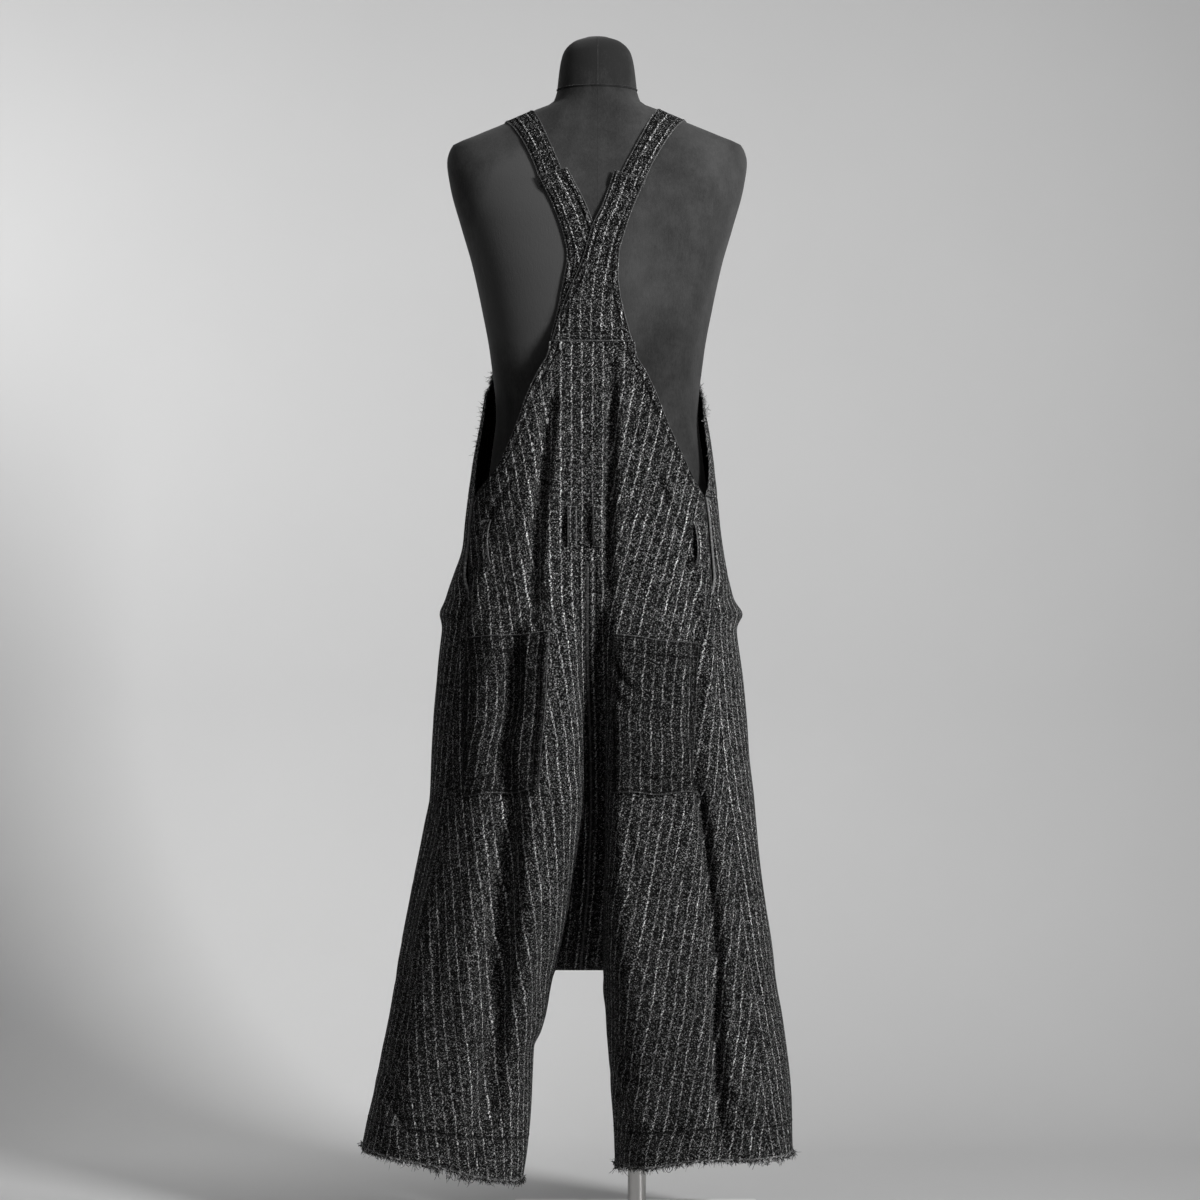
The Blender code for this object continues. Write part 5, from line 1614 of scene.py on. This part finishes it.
def make_button(word):
    """A turned four-hole button with a dished face, and the thread that holds it."""
    points = np.array([v.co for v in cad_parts["button_" + word].data.vertices])
    centre = points.mean(axis=0)
    _, _, axes = np.linalg.svd(points - centre)
    axis = axes[2] * (-1.0 if axes[2][1] > 0 else 1.0)
    reach = (points - centre) @ axis
    radius = np.linalg.norm((points - centre) - reach[:, None] * axis, axis=1).max()
    thick = reach.max() - reach.min()
    profile = [(radius * r, thick * t) for r, t in BUTTON_PROFILE]
    body = lathe("button_turned_" + word, profile, (0, 0, 0), "button_horn", 72)
    cutters = []
    for a in angles(4, 0.5):
        at = (HOLE_REACH * cos(a), HOLE_REACH * sin(a), 0)
        bore = ((HOLE_RADIUS, -0.01), (HOLE_RADIUS, 0.01))
        cutters.append(lathe("cutter", bore, at, "button_horn", 16))
        cut = body.modifiers.new("Hole", "BOOLEAN")
        cut.object, cut.operation = cutters[-1], "DIFFERENCE"
    graph = bpy.context.evaluated_depsgraph_get()
    bored = bpy.data.meshes.new_from_object(body.evaluated_get(graph))
    body.modifiers.clear()
    body.data = bored
    for cutter in cutters:
        bpy.data.objects.remove(cutter)
    turn = Vector(axis).to_track_quat("Z", "Y").to_matrix().to_4x4()
    place = Matrix.Translation(Vector(centre + reach.min() * axis)) @ turn
    bored.transform(place)
    bored.set_sharp_from_angle(angle=math.radians(35))
    stitches = Yarns(9)
    spread = HOLE_REACH / math.sqrt(2)
    for x_sign in (-1, 1):
        for k in (-1, 0, 1):
            y = np.linspace(-spread, spread, 14)
            arch = 0.0006 * np.cos(y / spread * pi / 2) - 0.0018 * (np.abs(y) > spread * 0.93)
            rise = thick * BUTTON_DISH + arch
            line = columns(x_sign * spread + k * 0.00045 + 0 * y, y, rise)
            line = np.array([place @ Vector(p) for p in line])
            stitches.tube(line, 0.00032, DARK, 6)
    stitches.make("button_thread_" + word, "tweed", "pale_yarn", "thread")
    return body


# ---- materials ----
def made(tree, kind, inputs=None, out=0, **settings):
    """One output of a new shader node. An input is a number, a colour or another's output."""
    node = tree.nodes.new(kind)
    for key, value in settings.items():
        setattr(node, key, value)
    for key, value in (inputs or {}).items():
        put(node.inputs[key], value)
    return Value(tree, node, out)


def put(socket, value):
    """Gives an input its number or colour, or links it to an output."""
    if isinstance(value, Value):
        value.tree.links.new(value.socket, socket)
    else:
        socket.default_value = value


def calc(operation, a, b=0.0):
    """The result of one Math node."""
    tree = a.tree if isinstance(a, Value) else b.tree
    return made(tree, "ShaderNodeMath", {0: a, 1: b}, operation=operation)


class Value:
    """An output of a shader node, with which sums are written as ordinary arithmetic."""

    def __init__(self, tree, node, out=0):
        self.tree, self.node, self.socket = tree, node, node.outputs[out]

    def __getitem__(self, out):
        return Value(self.tree, self.node, out)

    def __abs__(self):
        return calc("ABSOLUTE", self)

    def parts(self):
        """The X, Y and Z of a vector, or the red, green and blue of a colour."""
        xyz = made(self.tree, "ShaderNodeSeparateXYZ", {0: self})
        return xyz["X"], xyz["Y"], xyz["Z"]

    def vector(self, operation, other, out="Vector"):
        """The result of one Vector Math node."""
        inputs = {0: self, 1: other}
        return made(self.tree, "ShaderNodeVectorMath", inputs, out, operation=operation)


for sign, kind in (("add", "ADD"), ("sub", "SUBTRACT"), ("mul", "MULTIPLY"), ("truediv", "DIVIDE")):
    setattr(Value, f"__{sign}__", lambda a, b, kind=kind: calc(kind, a, b))
    setattr(Value, f"__r{sign}__", lambda a, b, kind=kind: calc(kind, b, a))


def joined(x, y, z=0.0):
    return made(x.tree, "ShaderNodeCombineXYZ", {"X": x, "Y": y, "Z": z})


def between(value, low, high):
    """A smooth step from 0 at low to 1 at high."""
    inputs = {"Value": value, "From Min": low, "From Max": high}
    kind = "ShaderNodeMapRange"
    return made(value.tree, kind, inputs, "Result", interpolation_type="SMOOTHSTEP")


def colour(value):
    """A grey, or a red, green and blue, as a shader takes it."""
    return (*((value,) * 3 if isinstance(value, float) else value), 1.0)


def blended(share, a, b):
    """A colour between two others."""
    mixed = made(share.tree, "ShaderNodeMix", {"Factor": share}, "Result", data_type="RGBA")
    for label, value in (("A", a), ("B", b)):
        put(mixed.node.inputs[label], value if isinstance(value, Value) else colour(value))
    return mixed


def noise(place, scale, detail=1.0, roughness=0.5, distortion=0.0, out="Fac"):
    inputs = {
        "Vector": place, "Scale": scale, "Detail": detail, "Roughness": roughness,
        "Distortion": distortion,
    }
    return made(place.tree, "ShaderNodeTexNoise", inputs, out)


def new_group(name, vector, values, outputs):
    """A shader node group with one vector and some numbers for inputs: (tree, its inputs)."""
    tree = bpy.data.node_groups.new(name, "ShaderNodeTree")
    tree.interface.new_socket(vector, in_out="INPUT", socket_type="NodeSocketVector")
    for label, default in values.items():
        socket = tree.interface.new_socket(label, in_out="INPUT", socket_type="NodeSocketFloat")
        socket.default_value = default
    for label in outputs:
        tree.interface.new_socket(label, in_out="OUTPUT", socket_type="NodeSocketFloat")
    return tree, Value(tree, tree.nodes.new("NodeGroupInput"))


def put_out(tree, **values):
    """Joins a group's outputs, and returns the group."""
    out = tree.nodes.new("NodeGroupOutput")
    for label, value in values.items():
        put(out.inputs[label], value)
    return tree


FLECK_BEND = 0.0010  # how far the flecks' grains wander
RARE = 11.0  # the higher, the fewer grains are pale


def flecks_group():
    """Salt and pepper: little curls and grains of many strengths on a nearly black ground."""
    tree, given = new_group(
        "Tweed flecks", "Place", {"Curl": 0.0020, "Grain": 0.00095}, ("Mask", "Height", "Mottle")
    )
    place, curls = given["Place"], 1.0 / given["Curl"]
    wander = noise(place, curls, 0.0, out="Color")
    bent = place.vector("ADD", wander.vector("MULTIPLY", (FLECK_BEND,) * 3))
    grains = {"Vector": bent, "Scale": 1.0 / given["Grain"]}
    lots = made(tree, "ShaderNodeTexVoronoi", grains, "Color").parts()
    grain = calc("POWER", lots[0], RARE)
    curl = 1.0 - between(abs(noise(bent, curls, 0.0) - 0.5), 0.010, 0.055)
    curl = curl * (lots[1] * 0.11)
    return put_out(
        tree,
        Mask=calc("MAXIMUM", grain, curl * 0.75),
        Height=grain + curl * 0.6,
        Mottle=noise(place, curls * 0.13, 2.0, 0.55),
    )


def white_noise(tree, key, value, dimensions):
    """A random value from 0 to 1 for each value given."""
    kind = "ShaderNodeTexWhiteNoise"
    return made(tree, kind, {key: value}, "Value", noise_dimensions=dimensions)


def stripes_group():
    """Broken pale stripes: short slubs laid end over end, that wander, swell and fade."""
    sizes = {"Pitch": PITCH, "Width": 0.0009, "Slub": 0.0085}
    tree, given = new_group("Slub stripes", "Weave", sizes, ("Mask", "Height"))
    across, down, _ = given["Weave"].parts()
    flat = joined(across, down)
    slow, quick = (noise(flat, 45.0, 1.0) - 0.5) * 0.0040, (noise(flat, 420.0, 0.0) - 0.5) * 0.0026
    count = (across + (slow + quick)) / given["Pitch"]
    number = calc("FLOOR", count)
    signed = (calc("FRACT", count) - 0.5) * given["Pitch"]
    lot = white_noise(tree, "W", number, "1D")
    line_place = joined(number * 3.17, down)
    turn = down / given["Slub"] + (noise(line_place, 60.0, 1.0) * 2.6 + lot)
    part = calc("FRACT", turn) - 0.5
    slub_lot = white_noise(tree, "Vector", joined(number, calc("FLOOR", turn)), "2D")
    swell = 1.0 - between(abs(part), 0.30, 0.52)
    away = abs(signed + part * 0.0017) / (given["Width"] * (0.45 + swell * 0.65))
    line = 1.0 - between(away, 0.50, 1.20)
    strength = (0.45 + slub_lot * 0.75) * (0.55 + lot * 0.45)
    strength = strength * (0.40 + between(noise(line_place, 14.0, 2.0, 0.6), 0.30, 0.60) * 0.60)
    strength = strength * (0.30 + swell * 0.70)
    strength = strength * (0.08 + between(noise(flat, 560.0, 0.0), 0.44, 0.58) * 1.15)
    return put_out(tree, Mask=line * strength, Height=line * swell)


NO_ROW = 9.0  # a distance at which no row of stitches lies
ROWS_OF_STITCHES = {"Side row": "X", "Outer row": "X", "End row": "Y", "Second end row": "Y"}


def seam_group():
    """The dents that rows of stitches pull into cloth, also painted into the colour as shade, and
    the wear of the edge beside them.
    """
    distances = {label: NO_ROW for label in ROWS_OF_STITCHES}
    tree, given = new_group("Sewn edge", "Edge", distances, ("Dent", "Wear"))
    x, y, _ = given["Edge"].parts()
    dent_and_painted_shade = None
    for label, axis in ROWS_OF_STITCHES.items():
        away = abs((x if axis == "X" else y) - given[label])
        one = 1.0 - between(away, 0.0002, 0.0026)
        dent_and_painted_shade = one if dent_and_painted_shade is None else calc("MAXIMUM", dent_and_painted_shade, one)
    wear = 1.0 - between(calc("MINIMUM", x, y), 0.0003, 0.0026)
    return put_out(tree, Dent=dent_and_painted_shade, Wear=wear)


LOOKS = {}


class Look:
    """A new material, and where its effects are placed."""

    def __init__(self, name):
        self.material = LOOKS[name] = bpy.data.materials.new(name)
        self.material.use_nodes = True
        self.tree = self.material.node_tree
        self.shader = self.tree.nodes["Principled BSDF"]
        self.place = made(self.tree, "ShaderNodeTexCoord", out="Object")

    def finish(self, **inputs):
        """Gives the shader its inputs, with an underscore for each space in their names."""
        for label, value in inputs.items():
            put(self.shader.inputs[label.replace("_", " ")], value)

    def bump(self, height, distance):
        inputs = {"Strength": 1.0, "Distance": distance, "Height": height}
        self.finish(Normal=made(self.tree, "ShaderNodeBump", inputs, "Normal"))


TWEED = {"ground": 0.0008, "fleck": 0.500, "stripe": 1.000}


def tweed(name, groups, wear, paleness=1.0, **stitches):
    """The charcoal tweed, with its pale stripes, for pieces sewn with these rows of stitches, whose
    dents are darkened as painted shade.
    """
    look = Look(name)
    weave, edge = (
        made(look.tree, "ShaderNodeUVMap", out="UV", uv_map=label) for label in ("Weave", "Edge")
    )
    distances = {label.replace("_", " "): value for label, value in stitches.items()}
    fleck, stripe, seam = (
        made(look.tree, "ShaderNodeGroup", inputs, node_tree=group)
        for group, inputs in zip(
            groups, ({"Place": look.place}, {"Weave": weave}, {"Edge": edge, **distances})
        )
    )
    mottle = fleck["Mottle"]
    ground = TWEED["ground"] * (0.55 + mottle)
    worn = fleck["Mask"] * (0.70 + mottle * 0.6) + seam["Wear"] * (0.25 * wear)
    shade = blended(worn, joined(ground, ground, ground), TWEED["fleck"] * paleness)
    patchy = stripe["Mask"] * (0.80 + fleck["Mask"])
    shade = blended(patchy, shade, TWEED["stripe"] * paleness)
    # painted shade: the colour is darkened along the rows of stitches, in their dents
    shade = blended(seam["Dent"] * 0.45, shade, 0.006)
    look.finish(Base_Color=shade, Roughness=0.95, Specular_IOR_Level=0.05)
    look.bump(fleck["Height"] + stripe["Height"] * 0.7 - seam["Dent"] * 1.6, 0.0013)


# a paler patch on the form's cover: a place, measured on squeezed axes
PALE_PATCH_AXES, PALE_PATCH_PLACE = (1.0, 0.3, 0.45), (0.105, 0.02, 0.600)


def jersey(name, ground, pale):
    """The form's knitted cover: fine wales, a soft mottle and a paler patch, with painted light and
    shade that makes it paler towards the top and darker towards the bottom, and darker on the neck
    cap.
    """
    look = Look(name)
    stretched = look.place.vector("MULTIPLY", (1.0, 1.0, 0.35))
    fine, wales = noise(look.place, 900.0, 2.0, 0.6), noise(stretched, 420.0, 1.0)
    broad, cloudy = noise(stretched, 9.0, 3.0, 0.6, 0.4), noise(look.place, 28.0, 3.0, 0.65)
    share = between(broad, 0.30, 0.75) * 0.55 + between(cloudy, 0.35, 0.75) * 0.25
    share = share + (fine - 0.5) * 0.55 + (wales - 0.5) * 0.35
    height = look.place.parts()[2]
    away = look.place.vector("MULTIPLY", PALE_PATCH_AXES).vector("DISTANCE", PALE_PATCH_PLACE, "Value")
    # painted light and shade: paler towards the top and darker towards the bottom
    share = share + (between(height, 1.02, 1.34) - 0.55) * 0.34
    # a paler patch on the cover
    share = share + (1.0 - between(away, 0.010, 0.085)) * 1.90
    share = share - between(height, 1.55, 1.575) * 0.30
    look.finish(
        Base_Color=blended(share, ground, pale), Roughness=0.9, Specular_IOR_Level=0.2,
        Sheen_Weight=0.12, Sheen_Roughness=0.45,
    )
    look.bump(fine + wales, 0.00018)


def plain_yarn(name, shade, spread=0.5):
    """Loose wool: its shade changes from thread to thread."""
    look = Look(name)
    change = between(noise(look.place, 260.0, 2.0, 0.6), 0.3, 0.7)
    shade = blended(change, shade * (1 - spread), shade * (1 + spread))
    look.finish(Base_Color=shade, Roughness=0.9, Specular_IOR_Level=0.2)
    look.bump(noise(look.place, 2600.0, 1.0), 0.0001)


def satin_steel():
    """Brushed tube: fine scratches along it and a few smears."""
    look = Look("satin_steel")
    scratch = noise(look.place.vector("MULTIPLY", (1.0, 1.0, 0.02)), 2600.0, 2.0, 0.6)
    rough = 0.24 + noise(look.place, 34.0, 3.0, 0.6) * 0.14
    shade = blended(scratch, (0.47, 0.46, 0.45), (0.62, 0.61, 0.60))
    look.finish(Base_Color=shade, Metallic=1.0, Roughness=rough)
    look.bump(scratch, 0.00003)


def foot_paint():
    """Satin enamel with a faint orange peel, duller where feet have scuffed it."""
    look = Look("foot_paint")
    scuff = between(noise(look.place, 22.0, 4.0, 0.65), 0.50, 0.78)
    shade = blended(scuff, (0.74, 0.74, 0.735), (0.60, 0.60, 0.59))
    look.finish(Base_Color=shade, Roughness=0.34 + scuff * 0.22)
    look.bump(noise(look.place, 620.0, 2.0), 0.00005)


def button_horn():
    """Dark horn: soft streaks under a satin polish."""
    look = Look("button_horn")
    streak = noise(look.place, 160.0, 4.0, 0.6, 1.4)
    shade = blended(between(streak, 0.3, 0.7), (0.016, 0.015, 0.014), (0.070, 0.064, 0.058))
    look.finish(Base_Color=shade, Roughness=0.28 + streak * 0.2)
    look.bump(noise(look.place, 900.0, 2.0), 0.00004)


def sweep_paper():
    """Pale paper that is clear from behind, so that the front of the garment can be seen too."""
    look = Look("sweep_paper")
    look.finish(Base_Color=blended(noise(look.place, 3.0, 3.0, 0.6), 0.60, 0.63), Roughness=0.9)
    behind = made(look.tree, "ShaderNodeNewGeometry", out="Backfacing")
    clear = made(look.tree, "ShaderNodeBsdfTransparent")
    paper = Value(look.tree, look.shader)
    both = made(look.tree, "ShaderNodeMixShader", {0: behind, 1: paper, 2: clear})
    put(look.tree.nodes["Material Output"].inputs["Surface"], both)


def make_materials():
    groups = (flecks_group(), stripes_group(), seam_group())
    side, outer = FREE_ROWS
    tweed("tweed", groups, 0.7, Side_row=side, Outer_row=outer, End_row=HEM_ROW)
    tweed("tweed_front", groups, 1.4, End_row=HEM_ROW)
    tweed("tweed_edged", groups, 0.6)
    tweed(
        "tweed_pocket", groups, 0.8, POCKET_PALENESS,
        Side_row=0.0031, Outer_row=0.0098, End_row=0.0031, Second_end_row=POCKET_TURNED,
    )
    side, outer = STRAP_ROWS
    ends = {"End_row": 0.0025, "Second_end_row": 0.0120}
    tweed("tweed_strap", groups, 0.9, Side_row=side, Outer_row=outer, **ends)
    plain_yarn("thread", 0.012)
    plain_yarn("pale_yarn", 0.36, 0.35)
    plain_yarn("dark_yarn", 0.022, 0.6)
    plain_yarn("form_tape", 0.060, 0.3)
    jersey("form_jersey", 0.0155, 0.066)
    satin_steel()
    foot_paint()
    button_horn()
    sweep_paper()


# ---- the studio ----
SWEEP_BACK, SWEEP_RADIUS, SWEEP_HALF, SWEEP_FRONT, SWEEP_TOP = -1.30, 0.70, 4.5, 2.6, 4.2
AIR, ROOM = 0.022, 0.34  # the world's light on the garment, and how much brighter it looks
# name, place, aim, width, height, power in watts and spread in degrees
LIGHTS = (
    ("key", (-2.7, 2.5, 2.3), (0.0, 0.0, 1.18), 0.8, 1.3, 36.0, 78.0),
    ("fill", (2.8, 2.6, 1.5), (0.0, 0.0, 0.80), 1.6, 2.0, 0.6, 120.0),
    ("wall_wash", (2.4, 0.2, 1.62), (1.10, -1.30, 1.45), 0.6, 0.9, 6.6, 82.0),
    ("wall_even", (-0.2, 0.9, 2.9), (-0.1, -1.30, 0.55), 3.6, 0.8, 7.2, 110.0),
    ("floor_patch", (0.75, -0.70, 3.0), (0.60, -0.65, 0.0), 0.5, 0.5, 0.85, 35.0),
)


def make_sweep():
    """A pale seamless sweep: the floor, a wide curve and the wall behind."""
    curve = [
        (SWEEP_BACK + SWEEP_RADIUS * (1 - sin(a)), SWEEP_RADIUS * (1 - cos(a)))
        for a in np.arange(25) / 24 * pi / 2
    ]
    profile = [(SWEEP_FRONT, 0.0), (1.0, 0.0), *curve, (SWEEP_BACK, SWEEP_TOP)]
    across = np.linspace(-SWEEP_HALF, SWEEP_HALF, 9)
    points = [(x, y, z - 0.0002) for y, z in profile for x in across]
    a = np.arange(len(points)).reshape(len(profile), -1)
    faces = columns(a[:-1, :-1], a[1:, :-1], a[1:, 1:], a[:-1, 1:]).reshape(-1, 4)
    mesh = bpy.data.meshes.new("sweep")
    mesh.from_pydata(points, [], faces.tolist())
    mesh.materials.append(LOOKS["sweep_paper"])
    mesh.shade_smooth()
    placed("sweep", mesh)


def area_light(name, place, aim, wide, tall, power, spread):
    data = bpy.data.lights.new(name, "AREA")
    data.shape, data.spread = "RECTANGLE", math.radians(spread)
    data.size, data.size_y, data.energy = wide, tall, power
    lamp = placed(name, data)
    lamp.location = place
    lamp.rotation_euler = (Vector(aim) - Vector(place)).to_track_quat("-Z", "Y").to_euler()


def make_studio():
    make_sweep()
    for light in LIGHTS:
        area_light(*light)
    world = bpy.data.worlds.new("studio_air")
    world.use_nodes = True
    air = world.node_tree
    # a pale room beyond the sweep, which gives the garment only a little light
    seen = made(air, "ShaderNodeLightPath", out="Is Camera Ray")
    put(air.nodes["Background"].inputs["Color"], colour(1.0))
    put(air.nodes["Background"].inputs["Strength"], AIR + seen * ROOM)
    scene = bpy.context.scene
    scene.world = world
    scene.view_settings.view_transform = "Standard"
    camera = scene.camera = placed("camera", bpy.data.cameras.new("camera"))
    camera.data.lens, camera.data.sensor_width = 98.0, 36.0
    camera.location = (-0.0041, 4.5, 0.864)
    camera.rotation_euler = (math.radians(90), 0.0, math.radians(180))


# ---- the whole garment on its form ----
def stands_for(piece, slot, *nodes):
    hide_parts(*nodes)
    return piece


def make_all():
    make_materials()
    make_studio()
    torso, cap = make_form()
    stands_for(torso, "form_cloth", "form_torso")
    stands_for(cap, "form_cloth", "form_neck_cap")
    make_form_seams()
    pole, socket = make_stand()
    stands_for(pole, "steel", "stand_pole")
    stands_for(socket, "steel", "form_socket")
    stands_for(make_base(), "base_paint", "stand_base")

    backs, fronts, frays, pockets, straps, bands = {}, {}, {}, {}, {}, []
    for side, word in SIDES.items():
        for panels, face, kind, look in (
            (backs, 1, "back", "tweed"), (fronts, -1, "front", "tweed_front")
        ):
            panel = make_panel(side, face, f"{kind}_{word}_cloth", look)
            nodes = [f"{kind}_{word}{part}" for part in ("", "_seat", "_leg")]
            panels[side] = stands_for(panel, "tweed", *nodes)
        fray = make_hem_fray(side, f"hem_fray_{word}")
        frays[side] = stands_for(fray, "fringe", f"fringe_{word}")
    bib, bib_fray = stands_for(make_bib(), "tweed", "bib"), make_bib_fray()
    for side, word in SIDES.items():
        pocket = make_pocket(side, f"pocket_{word}_cloth")
        pockets[side] = stands_for(pocket, "tweed", f"pocket_{word}")
    strips = [stands_for(make_loop(loop), "tweed", loop.name) for loop in LOOPS]
    under, over = (
        stands_for(make_back_strap(f"{name}_cloth", upper), "tweed", name)
        for name, upper in (("back_strap_under", LEFT), ("back_strap_over", RIGHT))
    )
    for side, word in SIDES.items():
        name = f"shoulder_strap_{word}"
        bands.append(shoulder_band(side))
        strap = strap_skin(name + "_cloth", *bands[-1], STRAP_CLOTH - PULL_IN, 0.003 * side, 1)
        straps[side] = stands_for(strap, "tweed", name)
        stands_for(make_button(word), "button", f"button_{word}")
    sewn_panels, sewn_pockets, sewn_loops, sewn_straps = (
        sew_panels(), sew_pockets(), sew_loops(), sew_straps(bands)
    )


make_all()
